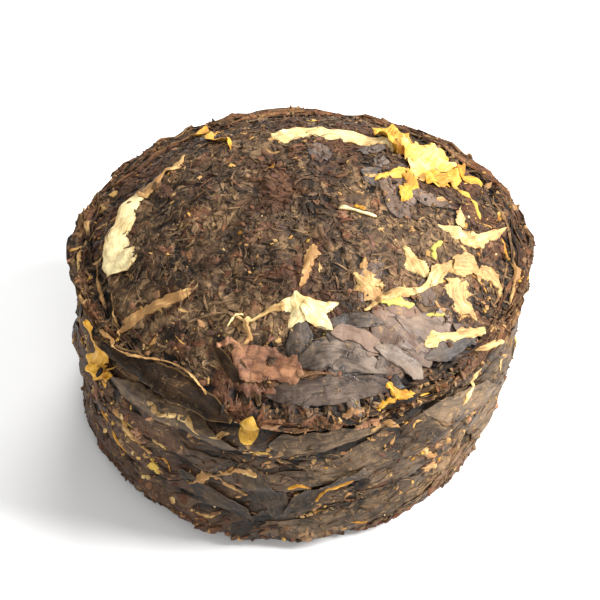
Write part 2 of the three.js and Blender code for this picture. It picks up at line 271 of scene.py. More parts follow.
class Chart:
    """Maps over the whole skin: how high the leaves lie on it, and what they look like.

    A map has a row for each step along the skin and a column for each step of azimuth. The cover
    and the even cover are what soft and stiff scraps lie on.
    """

    STEP = 0.1
    COLUMNS = 880
    MEAN_REACH = 7
    PRESSED = 0.44
    LOOSE_AT_LIP = 1.1
    SUNK_HIGH = 0.02
    SUNK_LOW = -0.15
    STIFF_LIFT = 0.09

    def __init__(self, skin: Skin) -> None:
        """Lays out the maps over the form that the leaves lie on.

        Args:
            skin: The form.
        """
        self.skin = skin
        self.radius_table, self.height_table, tilt, self.along_table = skin.outline()
        self.tilt_table = self._rounded(tilt)
        self.length = float(self.along_table[-1])
        self.rows = int(round(self.length / self.STEP)) + 1
        self.row_along = np.linspace(0.0, self.length, self.rows)
        shape = (self.rows, self.COLUMNS)
        self.height = np.zeros(shape)
        self.looks = {"tone": np.full(shape, 0.5), "hue": np.zeros(shape), "rim": np.zeros(shape)}
        self.bare = np.zeros(shape)
        self.mean = self.around = self.cover = self.even = self.height

    def _rounded(self, tilt: Array) -> Array:
        """Averages the tilt over the lip's turn, so that the relief fans out there.

        Args:
            tilt: The outline's tilt.

        Returns:
            The averaged tilt.
        """
        even = np.linspace(0.0, self.along_table[-1], 900)
        values = np.interp(even, self.along_table, tilt)
        width = int(self.skin.lip_turn / (even[1] - even[0]))
        padded = np.pad(values, width // 2, mode="edge")
        smooth = np.convolve(padded, np.ones(width) / width, mode="same")
        smooth = smooth[width // 2 : width // 2 + len(even)]
        return np.interp(self.along_table, even, smooth)

    def radius_at(self, along: Array | float) -> Array | float:
        """Distance of the plain skin from the axis."""
        return np.interp(along, self.along_table, self.radius_table)

    def place(self, azimuth: Array, along: Array, out: Array) -> Array:
        """Turns places on the skin into points.

        The point is the outline's radius and height at `along`, turned to the azimuth, moved
        along the outward tilt by the relief plus `out`, and shifted by the lean at its height.

        Args:
            azimuth, along: Places on the skin.
            out: Height over the relief.

        Returns:
            Points in millimetres, none of them below the foot's plane.
        """
        skin = self.skin
        height = np.interp(along, self.along_table, self.height_table)
        tilt = np.interp(along, self.along_table, self.tilt_table)
        lift = skin.relief(azimuth, along) + out
        down = np.clip(1.0 - height / skin.wall_height, 0.0, 1.0)
        reach = self.radius_at(along) + lift * np.sin(tilt)
        x = skin.axis_shift[0] + skin.base_lean * down**1.3 + reach * np.cos(azimuth)
        y = skin.axis_shift[1] + reach * np.sin(azimuth)
        z = np.maximum(height + lift * np.cos(tilt), 0.0)
        return np.stack([x, y, z], -1)

    def sample(self, values: Array, azimuth: Array, along: Array) -> Array:
        """Reads a map of the whole skin between its cells.

        Args:
            values: The map.
            azimuth, along: Places on the skin.

        Returns:
            The map's values there.
        """
        row = np.clip(along / self.length, 0.0, 1.0) * (self.rows - 1)
        column = (azimuth / TURN % 1.0) * self.COLUMNS % self.COLUMNS
        return between_cells(values, row, column, (column.astype(int) + 1) % self.COLUMNS)

    def lay(self, leaf: "Leaf", stiffness: int) -> "Laid":
        """Lays a leaf over what is there, and raises the chart to its face.

        The ground is the higher of the map and its average, so that a leaf bridges small gaps.

        Args:
            leaf: The leaf.
            stiffness: Over how many cells the leaf bridges.

        Returns:
            The ground that the leaf lies on.
        """
        reach = leaf.reach + 0.4
        low = math.floor((leaf.along - reach) / self.length * (self.rows - 1))
        high = math.ceil((leaf.along + reach) / self.length * (self.rows - 1))
        rows = np.arange(max(low, 0), min(high, self.rows - 1) + 1)
        radius = leaf.radius(self)
        if reach < 0.9 * radius:
            spread = reach / radius if leaf.wrapped else math.asin(reach / radius)
            middle, half = leaf.azimuth / TURN * self.COLUMNS, spread / TURN * self.COLUMNS
            columns = np.arange(math.floor(middle - half) - 1, math.ceil(middle + half) + 2)
        else:
            columns = np.arange(0, self.COLUMNS + 1)
        cells = np.ix_(rows, columns % self.COLUMNS)
        under = self.height[cells]
        ground = np.maximum(box_blur(under, stiffness), box_blur(under, 1))
        azimuth = (columns % self.COLUMNS)[None, :] * TURN / self.COLUMNS
        x, y = leaf.from_skin(azimuth, self.row_along[rows][:, None], self)
        near = np.abs(x) < 1.3 * leaf.half_length
        share = np.where(near, leaf.inward(x, y), 9.0)
        covered = share < 1.0
        face = ground + leaf.rise(x, y, share * covered)
        self.height[cells] = np.where(covered, face, under)
        for name, value in (("tone", leaf.tone), ("hue", leaf.hue), ("rim", share)):
            self.looks[name][cells] = np.where(covered, value, self.looks[name][cells])
        return Laid(rows, columns, ground)

    def settle(self) -> None:
        """Presses the leaves together, and works out the cover that later scraps lie on."""
        azimuth, along = np.meshgrid(np.arange(self.COLUMNS) * TURN / self.COLUMNS, self.row_along)
        self.mean = box_blur(self.height, self.MEAN_REACH, wraps=True)
        self.height = self.pressed(azimuth, along, self.height)
        outside = self.height + self.skin.relief(azimuth, along)
        self.around = box_blur(outside, self.MEAN_REACH, wraps=True)
        wide = box_blur(self.height, 3, wraps=True)
        self.cover = np.maximum(wide, box_blur(self.height, 1, wraps=True))
        self.even = box_blur(self.height, 9, wraps=True) + self.STIFF_LIFT

    def pressed(self, azimuth: Array, along: Array, height: Array) -> Array:
        """Heights brought nearer to their average by pressing, but for the loose lip.

        Args:
            azimuth, along: Places on the skin.
            height: The heights there.

        Returns:
            The pressed heights.
        """
        mean = self.sample(self.mean, azimuth, along)
        loose = hump(along - self.skin.dome_arc, self.LOOSE_AT_LIP)
        return mean + (self.PRESSED + (1.0 - self.PRESSED) * loose) * (height - mean)

    def sunk(self, azimuth: Array, along: Array, height: Array) -> Array:
        """How deep places lie between what is around them, from 0 on top to 1 in a crevice.

        The finishes darken the colour by it: painted shade in the crevices.
        """
        over = height + self.skin.relief(azimuth, along) - self.sample(self.around, azimuth, along)
        return 1.0 - smooth_rise(self.SUNK_LOW, self.SUNK_HIGH, over)

    def raise_to(self, azimuth: Array, along: Array, height: Array) -> None:
        """Raises the cells at close-set places, so that crumbs lie on what was put there.

        Args:
            azimuth, along: Places on the skin.
            height: The height at each.
        """
        row = np.clip(np.rint(along / self.length * (self.rows - 1)), 0, self.rows - 1).astype(int)
        column = np.rint(azimuth / TURN * self.COLUMNS).astype(int) % self.COLUMNS
        for values in (self.height, self.cover, self.even):
            np.maximum.at(values, (row, column), height)
        self.bare[row, column] = 1.0

    def spread(self, draw: Draw, count: int, low: float, high: float,
               patchy: bool = False) -> tuple[Array, Array]:
        """Places strewn by chance, as many on each square millimetre but few on bare scraps.

        Args:
            draw: The number stream.
            count: How many.
            low, high: Between what distances along the skin.
            patchy: Whether most lie in clusters.

        Returns:
            Azimuths and distances along, each as a column.
        """
        inside = (self.row_along >= low) & (self.row_along <= high)
        area = np.cumsum(self.radius_at(self.row_along) * inside)
        along = np.interp(draw.uniform(0, area[-1], (count, 1)), area, self.row_along)
        azimuth = draw.uniform(0, TURN, (count, 1))
        share = 1.0 - 0.98 * self.sample(self.bare, azimuth, along)
        if patchy:
            share = share * clustered(azimuth, along)
        kept = draw.uniform(0, 1, (count, 1)) < share
        return azimuth[kept][:, None], along[kept][:, None]


@dataclass(frozen=True)
class Laid:
    """The ground under a laid leaf, on a window of the chart."""

    rows: Array
    columns: Array
    ground: Array

    def at(self, chart: Chart, azimuth: Array, along: Array) -> Array:
        """The ground at places on the skin.

        Args:
            chart: The chart of the skin.
            azimuth, along: Places on the skin.

        Returns:
            Its height at each.
        """
        row = along / chart.length * (chart.rows - 1) - self.rows[0]
        row = np.clip(row, 0, self.rows.size - 1.01)
        column = (azimuth / TURN * chart.COLUMNS - self.columns[0]) % chart.COLUMNS
        column = np.clip(column, 0, self.columns.size - 1.01)
        return between_cells(self.ground, row, column, column.astype(int) + 1)


# Leaves, ribbons and scraps


class Outline(Enum):
    """Shares of a leaf's full width at seven even places from one end to the other."""

    LEAF = (0.92, 0.97, 1.0, 1.0, 0.99, 0.96, 0.9)
    STRIP = (0.8, 1.0, 0.86, 0.78, 0.95, 1.02, 0.8)
    SPINDLE = (0.4, 0.72, 0.94, 1.0, 0.94, 0.72, 0.4)
    CLUB = (0.35, 0.38, 0.5, 0.75, 1.0, 1.05, 1.0)
    WEDGE = (1.15, 1.05, 0.9, 0.75, 0.6, 0.45, 0.3)
    TORN = (1.1, 0.8, 0.95, 1.08, 0.85, 1.0, 0.75)

    def width(self, lengthwise: Array) -> Array:
        """The share of the full width at places from -1 to 1 along the leaf."""
        return np.interp(lengthwise, np.linspace(-1.0, 1.0, len(self.value)), self.value)


def crossed_waves(draw: Draw, pitch: float, count: int = 7) -> Array:
    """Wave numbers, strengths and phases of a crumpled surface, one wave to a column.

    Args:
        draw: The number stream.
        pitch: About how long a wave is.
        count: How many waves.

    Returns:
        Rows of numbers across, numbers down, strengths and phases.
    """
    angles = draw.uniform(0, TURN, count)
    pitches = pitch * draw.uniform(0.45, 1.5, count)
    strength = np.sqrt(pitches / pitches.max() / count)
    across, down = np.cos(angles) * TURN / pitches, np.sin(angles) * TURN / pitches
    return np.stack([across, down, strength, draw.uniform(0, TURN, count)])


def crumpled(waves: Array, x: Array, y: Array) -> Array:
    """The height of a crumpled surface: the sum of its crossed waves.

    Args:
        waves: The crossed waves.
        x, y: The places.

    Returns:
        The heights there.
    """
    across, down, strength, phases = waves
    phase = np.multiply.outer(x, across) + np.multiply.outer(y, down) + phases
    return np.sin(phase) @ strength


@dataclass
class Leaf:
    """One pressed leaf or scrap: where it lies, its size, and how its surface goes."""

    azimuth: float
    along: float
    heading: float
    half_length: float
    half_width: float
    outline: Outline = Outline.LEAF
    wrapped: bool = False
    bow: float = 0.0
    thickness: float = 0.09
    rim_lift: float = 0.05
    curl: float = 0.0
    curl_side: float = 0.0
    crumple: float = 0.04
    crumple_scale: float = 1.6
    jag: float = 0.12
    midrib: float = 0.0
    tone: float = 0.5
    hue: float = 0.0
    seed: int = 1
    jags: Array = field(init=False, repr=False)
    waves: Array = field(init=False, repr=False)

    def __post_init__(self) -> None:
        """Draws the leaf's own torn outline and crumples from its seed."""
        draw = np.random.default_rng(self.seed)
        counts = np.array([2, 3, 4, 5, 7, 9, 13, 17])
        sizes = self.jag * draw.uniform(0.3, 1.0, counts.size) / np.sqrt(counts / 2.0)
        self.jags = np.stack([counts, sizes, draw.uniform(0, TURN, counts.size)])
        self.waves = crossed_waves(draw, self.crumple_scale)

    @property
    def reach(self) -> float:
        """The furthest that the leaf comes from its middle."""
        return 1.25 * max(self.half_length, self.half_width) + abs(self.bow)

    def radius(self, chart: Chart) -> float:
        """The radius that its azimuths are measured on: the skin's, or the spread dome's."""
        return max(float(chart.radius_at(self.along)), 1.0) if self.wrapped else self.along

    def edge_at(self, angle: Array) -> Array:
        """The torn edge: a sum of waves round the outline, about 1."""
        counts, sizes, phases = self.jags
        return 1.0 + np.sin(np.multiply.outer(angle, counts) + phases) @ sizes

    def outward(self, share: Array, angle: Array) -> tuple[Array, Array]:
        """From a share of the way out and an angle to a place on the leaf.

        An ellipse times the torn edge, narrowed by the outline, bent sideways by the bow.

        Args:
            share: 0 in the middle, 1 on the edge.
            angle: Angle round the leaf's middle.

        Returns:
            Lengthwise and sideways places on the leaf.
        """
        far = share * self.edge_at(angle)
        lengthwise = far * np.cos(angle)
        sideways = far * np.sin(angle) * self.half_width * self.outline.width(lengthwise)
        return lengthwise * self.half_length, sideways + self.bow * (1.0 - lengthwise**2)

    def inward(self, x: Array, y: Array) -> Array:
        """The share of the way out at places on the leaf: the inverse of `outward`.

        Args:
            x, y: Lengthwise and sideways places on the leaf.

        Returns:
            The share at each.
        """
        lengthwise = x / self.half_length
        width = self.half_width * self.outline.width(lengthwise)
        sideways = (y - self.bow * (1.0 - lengthwise**2)) / width
        return np.hypot(lengthwise, sideways) / self.edge_at(np.arctan2(sideways, lengthwise))

    def rise(self, x: Array, y: Array, share: Array) -> Array:
        """How high the leaf's upper face is over what it lies on.

        Its thickness, a rim that lifts with the fourth power of the way out, a curl to one side,
        a midrib, and crumples.

        Args:
            x, y: Lengthwise and sideways places on the leaf.
            share: The share of the way out.

        Returns:
            Heights.
        """
        towards = (x * math.cos(self.curl_side) + y * math.sin(self.curl_side)) / self.half_width
        curl = self.curl * np.clip(towards, 0.0, 1.3) ** 2
        rib = self.midrib * hump((y - self.bow) / self.half_width, 0.16)
        lift = self.thickness + self.rim_lift * share**4
        return lift + curl + rib + self.crumple * crumpled(self.waves, x, y)

    def on_skin(self, x: Array, y: Array, chart: Chart) -> tuple[Array, Array]:
        """Places on the leaf as places on the skin.

        A wrapped leaf lies on the unrolled skin with the dome up, and any other on the dome
        spread out flat.

        Args:
            x, y: Lengthwise and sideways places on the leaf.
            chart: The chart of the skin.

        Returns:
            Azimuth and distance along the skin.
        """
        right = x * math.cos(self.heading) - y * math.sin(self.heading)
        up = x * math.sin(self.heading) + y * math.cos(self.heading)
        if self.wrapped:
            return self.azimuth + right / self.radius(chart), self.along - up
        right = right + self.along * math.cos(self.azimuth)
        up = up + self.along * math.sin(self.azimuth)
        return np.arctan2(up, right), np.hypot(right, up)

    def from_skin(self, azimuth: Array, along: Array, chart: Chart) -> tuple[Array, Array]:
        """Places on the skin as places on the leaf: the inverse of `on_skin`.

        Args:
            azimuth, along: Places on the skin.
            chart: The chart of the skin.

        Returns:
            Lengthwise and sideways places.
        """
        if self.wrapped:
            apart = (azimuth - self.azimuth + math.pi) % TURN - math.pi
            right, up = apart * self.radius(chart), self.along - along
        else:
            right = along * np.cos(azimuth) - self.along * math.cos(self.azimuth)
            up = along * np.sin(azimuth) - self.along * math.sin(self.azimuth)
        x = right * math.cos(self.heading) + up * math.sin(self.heading)
        return x, up * math.cos(self.heading) - right * math.sin(self.heading)


def smooth_line(values: Array, at: Array) -> Array:
    """A smooth line through values at whole places (Catmull-Rom), read at the places `at`.

    Args:
        values: The values.
        at: The places.

    Returns:
        The line's values there.
    """
    before = np.clip(np.floor(at).astype(int), 0, len(values) - 2)
    part = at - before
    padded = np.concatenate([2 * values[:1] - values[1:2], values, 2 * values[-1:] - values[-2:-1]])
    a, b, c, d = (padded[before + shift] for shift in range(4))
    curve = 2 * b + (c - a) * part + (2 * a - 5 * b + 4 * c - d) * part**2
    return 0.5 * (curve + (3 * b - a - 3 * c + d) * part**3)


@dataclass(frozen=True)
class Ribbon:
    """A scrap drawn by its middle line, which lies over everything laid before.

    A station is an azimuth in degrees, a distance along the skin, and the width there.
    """

    stations: tuple[tuple[float, float, float], ...]
    tone: float = 0.7
    hue: float = 0.0
    thickness: float = 0.06
    stand: float = 0.03
    tip: float = 0.0
    fold: float = 0.0
    crumple: float = 0.08
    crumple_scale: float = 1.3
    wrinkle: float = 0.018
    tuck: float = 0.1
    jag: float = 0.2
    stiff: bool = False
    wrapped: bool = False

    @property
    def seed(self) -> int:
        """A seed from where the ribbon starts."""
        azimuth, along, width = self.stations[0]
        return int(azimuth * 131 + along * 37 + width * 1009 + len(self.stations))

    def middle_line(self, radius: float, at: Array) -> tuple[Array, Array, Array]:
        """The middle line on the spread dome or the unrolled wall, with widths.

        Args:
            radius: The radius of the unrolled wall.
            at: Places along the line, from 0 to 1.

        Returns:
            Rightward and upward places, and widths.
        """
        degrees, along, width = np.array(self.stations).T
        azimuth = np.radians(degrees)
        if self.wrapped:
            right, up = azimuth * radius, -along
        else:
            right, up = along * np.cos(azimuth), along * np.sin(azimuth)
        at = at * (len(width) - 1)
        across = np.interp(at, np.arange(len(width)), width)
        return smooth_line(right, at), smooth_line(up, at), across

    def sheet(self, chart: Chart, t: Array, s: Array) -> "Sheet":
        """Lays the ribbon on the chart's cover, or on its even cover where the ribbon is stiff.

        Each side's width is torn by its own waves. The face rises from the cover by its
        thickness, a fold along the middle, crumples, and a tip that raises the upper side, or
        the lower side where it is negative. The edges are tucked in with the third power.

        Args:
            chart: The chart of the skin.
            t: Places along the ribbon, from 0 to 1.
            s: Places across it, from -1 to 1.

        Returns:
            The sheet.
        """
        draw = np.random.default_rng(self.seed)
        radius = float(chart.radius_at(np.mean([along for _, along, _ in self.stations])))
        right, up, width = self.middle_line(radius, t)
        step = 1e-3
        ahead = self.middle_line(radius, np.minimum(t + step, 1.0))
        behind = self.middle_line(radius, np.maximum(t - step, 0.0))
        run = np.hypot(ahead[0] - behind[0], ahead[1] - behind[1]) + 1e-12
        run_right, run_up = (ahead[0] - behind[0]) / run, (ahead[1] - behind[1]) / run
        counts = np.array([1.5, 2.5, 4.0, 6.5, 10.0, 15.0, 23.0, 34.0])
        phases = draw.uniform(0, TURN, (2, counts.size))
        strength = self.jag * draw.uniform(0.3, 1.3, (2, counts.size)) / counts**0.5
        waves = np.sin(TURN / 2 * np.multiply.outer(t, counts)[..., None, :] + phases)
        left, other = np.moveaxis(1.0 + (waves * strength).sum(-1), -1, 0)
        end = np.sqrt(np.clip(1.0 - np.abs(2 * t - 1.0) ** 14, 0.02, 1.0))
        reach = 0.5 * width * end * np.where(s > 0, left, other)
        across = s * reach
        x = right - run_up * across
        y = up + run_right * across
        if self.wrapped:
            azimuth, along = x / radius, -y
        else:
            azimuth, along = np.arctan2(y, x), np.hypot(x, y)
        upper_side = np.sign(run_right[len(run_right) // 2])
        lengthwise = t * np.hypot(np.ptp(right), np.ptp(up))
        cover = chart.even if self.stiff else chart.cover
        face = chart.sample(cover, azimuth, along) + self.thickness + self.stand
        raised = 0.5 + 0.5 * s * upper_side * math.copysign(1.0, self.tip)
        face = face + abs(self.tip) * raised**1.6 + self.fold * (1.0 - s**2)
        crumples = crossed_waves(draw, self.crumple_scale)
        face = face + self.crumple * crumpled(crumples, lengthwise, across)
        wrinkles = crossed_waves(draw, 0.3 * self.crumple_scale)
        face = face + self.wrinkle * crumpled(wrinkles, 0.5 * lengthwise, across)
        rim = np.maximum(np.abs(s), np.abs(2 * t - 1.0) ** 3)
        face = face - self.tuck * rim**3
        return Sheet(
            azimuth, along, face, face - self.thickness * (1.0 - 0.5 * rim**2), rim,
            np.stack([lengthwise, across], -1), self.tone, self.hue,
        )


@dataclass(frozen=True)
class Sheet:
    """A laid leaf or ribbon as arrays, one value for each vertex of a face."""

    azimuth: Array
    along: Array
    upper: Array
    lower: Array
    rim: Array
    local: Array
    tone: float
    hue: float


# Meshes


def mesh_object(name: str, points: Array, faces: Faces, attributes: dict[str, Array],
                maps: dict[str, Array], smooth: bool = True) -> Piece:
    """Makes a mesh object from whole arrays.

    Args:
        name: The piece's name.
        points: Vertices in millimetres.
        faces: Rows of four and rows of three vertex numbers, counter-clockwise from outside.
        attributes: One number for each vertex, by attribute name.
        maps: One (u, v) for each face corner, quads first, by UV map name.
        smooth: Whether the faces are shaded smooth.

    Returns:
        The object, at the origin.
    """
    mesh = bpy.data.meshes.new(name)
    corners = np.concatenate([part.ravel() for part in faces]).astype(np.int32)
    sizes = np.concatenate([np.full(len(part), part.shape[1]) for part in faces])
    starts = np.concatenate([[0], np.cumsum(sizes)[:-1]]).astype(np.int32)
    mesh.vertices.add(len(points))
    mesh.vertices.foreach_set("co", (points * MM).astype(np.float32).ravel())
    mesh.loops.add(corners.size)
    mesh.loops.foreach_set("vertex_index", corners)
    mesh.polygons.add(starts.size)
    mesh.polygons.foreach_set("loop_start", starts)
    mesh.polygons.foreach_set("use_smooth", np.full(starts.size, smooth))
    mesh.update(calc_edges=True)
    for label, places in maps.items():
        layer = mesh.uv_layers.new(name=label)
        layer.data.foreach_set("uv", places.astype(np.float32).ravel())
    for label, values in attributes.items():
        layer = mesh.attributes.new(label, "FLOAT", "POINT")
        layer.data.foreach_set("value", values.astype(np.float32).ravel())
    mesh.validate()
    piece = bpy.data.objects.new(name, mesh)
    bpy.context.scene.collection.objects.link(piece)
    return piece


def joined(faces: Faces, atlas: Faces, count: int, each: int) -> tuple[Faces, Array]:
    """Repeats the faces of one closed thing, and gives each its own cell of the atlas.

    Args:
        faces: Quads and triangles of one.
        atlas: The places of their corners in a cell.
        count: How many there are.
        each: Vertices in one.

    Returns:
        All the faces, and the atlas place of each of their corners.
    """
    numbers = np.arange(count)
    offsets = (numbers * each)[:, None, None]
    across = math.ceil(math.sqrt(count))
    low = (np.stack([numbers % across, numbers // across], -1) / across)[:, None, None]
    cell = 1.0 / across
    bake = np.concatenate([(low + one * cell).reshape(-1, 2) for one in atlas])
    quads, triangles = ((one + offsets).reshape(-1, one.shape[-1]) for one in faces)
    return (quads, triangles), bake


def fan(spokes: int) -> Array:
    """Triangles from vertex 0 to the ring of vertices after it."""
    spoke = np.arange(spokes)
    return np.stack([np.zeros(spokes, int), 1 + spoke, 1 + (spoke + 1) % spokes], -1)


def ring_quads(rings: int, spokes: int) -> Array:
    """Quads between the rings of vertices that follow vertex 0.

    Args:
        rings, spokes: How many there are.

    Returns:
        Rows of four vertex numbers.
    """
    spoke = np.arange(spokes)
    after = (spoke + 1) % spokes
    inner = (np.arange(rings - 1) * spokes + 1)[:, None]
    outer = inner + spokes
    return np.stack([inner + spoke, outer + spoke, outer + after, inner + after], -1).reshape(-1, 4)


def two_faced(quads: Array, triangles: Array, loop: Array, per_face: int) -> Faces:
    """Closes a sheet: its upper face, the same turned over below it, and an edge round both.

    Args:
        quads, triangles: The upper face.
        loop: The vertices round it.
        per_face: How many vertices a face has.

    Returns:
        Quads and triangles.
    """
    after = np.roll(loop, -1)
    edge = np.stack([loop, loop + per_face, after + per_face, after], -1)
    return (
        np.concatenate([quads, quads[:, ::-1] + per_face, edge]),
        np.concatenate([triangles, triangles[:, ::-1] + per_face]),
    )


def edge_strip(count: int, left: float, width: float, low: float, high: float) -> Array:
    """Atlas places of the quads round an edge: a strip in even parts."""
    across = left + width * (np.arange(count)[:, None] + np.array([0, 0, 1, 1])) / count
    return np.stack([across, np.broadcast_to([high, low, low, high], across.shape)], -1)


@dataclass(frozen=True)
class DiscGrid:
    """The mesh of one leaf: two faces of rings and spokes, closed round the edge.

    In its cell of the atlas two discs lie over a strip.
    """

    rings: int = 7
    spokes: int = 36
    disc: float = 0.225
    middles: tuple[tuple[float, float], ...] = ((0.26, 0.56), (0.74, 0.56))
    strip: tuple[float, float, float, float] = (0.04, 0.92, 0.08, 0.2)

    def places(self) -> tuple[Array, Array]:
        """Shares of the way out and angles of one face's vertices, the middle one first.

        Returns:
            The shares and the angles.
        """
        ring = (np.arange(self.rings) + 1.0) / self.rings
        share = 1.0 - (1.0 - ring) ** 1.25
        angle = np.arange(self.spokes) * TURN / self.spokes
        shares = np.concatenate([[0.0], np.repeat(share, self.spokes)])
        return shares, np.concatenate([[0.0], np.tile(angle, self.rings)])

    def faces(self) -> Faces:
        """Quads and triangles of both faces and the edge between them.

        Returns:
            Rows of vertex numbers.
        """
        loop = 1 + (self.rings - 1) * self.spokes + np.arange(self.spokes)
        per_face = 1 + self.rings * self.spokes
        return two_faced(ring_quads(self.rings, self.spokes), fan(self.spokes), loop, per_face)

    def atlas(self) -> Faces:
        """The face corners' places in a cell of the atlas.

        Returns:
            The places for quads and for triangles.
        """
        shares, angles = self.places()
        disc = np.stack([shares * np.cos(angles), shares * np.sin(angles)], -1) * self.disc
        both = np.concatenate([disc + middle for middle in self.middles])
        quads, triangles = self.faces()
        places = both[quads]
        places[-self.spokes :] = edge_strip(self.spokes, *self.strip)
        return places, both[triangles]


@dataclass(frozen=True)
class RibbonGrid:
    """The mesh of one ribbon: two faces of rows and columns, closed round the edge.

    In its cell of the atlas two bands lie over a strip.
    """

    rows: int = 44
    columns: int = 13

    def places(self) -> tuple[Array, Array]:
        """Places along (0 to 1) and across (-1 to 1) of one face's vertices.

        Returns:
            Places along and places across.
        """
        t = 0.5 - 0.5 * np.cos(np.linspace(0.12, 1.0 - 0.12, self.rows) * math.pi)
        t = (t - t[0]) / (t[-1] - t[0])
        s = np.sin(np.linspace(-0.5, 0.5, self.columns) * math.pi)
        return np.repeat(t, self.columns), np.tile(s, self.rows)

    def faces(self) -> Faces:
        """Quads of both faces and the edge between them, and no triangles.

        Returns:
            Rows of vertex numbers.
        """
        numbers = np.arange(self.rows * self.columns).reshape(self.rows, self.columns)
        first = numbers[:-1, :-1]
        upper = [first, first + self.columns, first + self.columns + 1, first + 1]
        sides = [numbers[:, 0], numbers[-1, 1:], numbers[-2::-1, -1], numbers[0, -2:0:-1]]
        quads = np.stack(upper, -1).reshape(-1, 4)
        return two_faced(quads, np.zeros((0, 3), int), np.concatenate(sides), numbers.size)

    def atlas(self) -> Faces:
        """The face corners' places in a cell of the atlas.

        Returns:
            The places for quads, and none for triangles.
        """
        t, s = self.places()
        band = np.stack([0.04 + 0.92 * t, 0.17 * s], -1)
        places = np.concatenate([band + [0.0, 0.78], band + [0.0, 0.38]])[self.faces()[0]]
        count = 2 * (self.rows + self.columns) - 4
        places[-count:] = edge_strip(count, 0.04, 0.92, 0.05, 0.14)
        return places, np.zeros((0, 3, 2))


@dataclass
class SheetLayer:
    """Sheets of one kind that are joined into one piece."""

    name: str
    finish: str
    slot: str
    grid: DiscGrid | RibbonGrid
    sheets: list[Sheet] = field(default_factory=list, init=False, repr=False)

    def settled(self, chart: Chart, azimuth: Array, along: Array, face: Array) -> Array:
        """The heights of faces once everything is laid: here, as they were laid."""
        return face

    def build(self, chart: Chart) -> Piece:
        """Joins the sheets into one mesh, once all layers are laid.

        Args:
            chart: The settled chart.

        Returns:
            The piece.
        """
        azimuth, along, upper, lower, rim, local = (
            np.stack([getattr(sheet, name) for sheet in self.sheets])
            for name in ("azimuth", "along", "upper", "lower", "rim", "local")
        )
        count, per_face = azimuth.shape
        levels = [self.settled(chart, azimuth, along, face) for face in (upper, lower)]
        points = np.concatenate([chart.place(azimuth, along, face) for face in levels], 1)
        sunk = np.concatenate([chart.sunk(azimuth, along, face) for face in levels], 1)
        looks = {"rim": np.concatenate([rim, rim], 1).ravel(), "sunk": sunk.ravel()}
        for name in ("tone", "hue"):
            looks[name] = np.repeat([getattr(sheet, name) for sheet in self.sheets], 2 * per_face)
        faces, bake = joined(self.grid.faces(), self.grid.atlas(), count, 2 * per_face)
        both = np.concatenate([local, local], 1).reshape(-1, 2)
        corners = np.concatenate([part.ravel() for part in faces])
        maps = {"OFBake": bake, "LeafPlace": both[corners]}
        return mesh_object(self.name, points.reshape(-1, 3), faces, looks, maps)


@dataclass
class LeafLayer(SheetLayer):
    """Leaves that are laid one by one, each over those before it."""

    count: int = 0
    seed: int = 1
    stiffness: int = 4

    def leaves(self, skin: Skin) -> Iterator[Leaf]:
        """The leaves in the order that they are laid; each kind of layer says its own."""
        raise NotImplementedError

    def settled(self, chart: Chart, azimuth: Array, along: Array, face: Array) -> Array:
        """The heights of faces once everything is laid: pressed together."""
        return chart.pressed(azimuth, along, face)

    def lay(self, chart: Chart) -> None:
        """Lays the leaves and keeps them as sheets.

        Args:
            chart: The chart of the skin.
        """
        shares, angles = self.grid.places()
        for leaf in self.leaves(chart.skin):
            laid = chart.lay(leaf, self.stiffness)
            x, y = leaf.outward(shares, angles)
            azimuth, along = leaf.on_skin(x, y, chart)
            face = laid.at(chart, azimuth, along) + leaf.rise(x, y, shares)
            lower = face - leaf.thickness * (1.0 - 0.45 * shares**2)
            local = np.stack([x, y], -1)
            self.sheets.append(
                Sheet(azimuth, along, face, lower, shares, local, leaf.tone, leaf.hue)
            )


@dataclass
class RibbonLayer(SheetLayer):
    """Ribbons that lie over all the leaves."""

    ribbons: tuple[Ribbon, ...] = ()

    def lay(self, chart: Chart) -> None:
        """Lays the ribbons on the settled chart and keeps them as sheets.

        Args:
            chart: The chart of the skin.
        """
        close = RibbonGrid(3 * self.grid.rows, 3 * self.grid.columns).places()
        for ribbon in self.ribbons:
            self.sheets.append(ribbon.sheet(chart, *self.grid.places()))
            raised = ribbon.sheet(chart, *close)
            chart.raise_to(raised.azimuth, raised.along, raised.upper)


def turned(x: Array, y: Array, heading: Array) -> tuple[Array, Array]:
    """Places turned by headings."""
    return x * np.cos(heading) - y * np.sin(heading), x * np.sin(heading) + y * np.cos(heading)


@dataclass
class Litter:
    """Small closed things of one kind, strewn over the skin and joined into one piece."""

    name: str
    count: int
    low: float
    high: float
    seed: int
    finish: str = "matted"
    slot: str = "pressed_leaf"
    tone: tuple[float, float] = (0.5, 0.25)
    hued: float = 0.25
    leaf_scale: float = 40.0

    def joined(self, points: Array, sunk: Array, faces: Faces, atlas: Faces, draw: Draw,
               smooth: bool) -> Piece:
        """Joins the things into one mesh, with a tone and a hue drawn for each.

        Args:
            points: Their vertices, thing by thing.
            sunk: How deep the vertices lie, a row for each thing.
            faces: Quads and triangles of one.
            atlas: The places of their corners in a cell of the atlas.
            draw: The number stream.
            smooth: Whether the faces are shaded smooth.

        Returns:
            The piece.
        """
        size, each = (len(points), 1), sunk.shape[1]
        all_faces, bake = joined(faces, atlas, len(points), each)
        tone = np.clip(draw.normal(*self.tone, size), 0, 1)
        hue = (draw.uniform(size=size) < self.hued) * draw.uniform(0.2, 1.0, size)
        looks = {"tone": tone, "hue": hue, "rim": np.zeros(size)}
        looks = {label: np.repeat(values, each, 1) for label, values in looks.items()}
        maps = {"OFBake": bake, "LeafPlace": bake * self.leaf_scale}
        looks["sunk"] = sunk
        return mesh_object(self.name, points.reshape(-1, 3), all_faces, looks, maps, smooth)


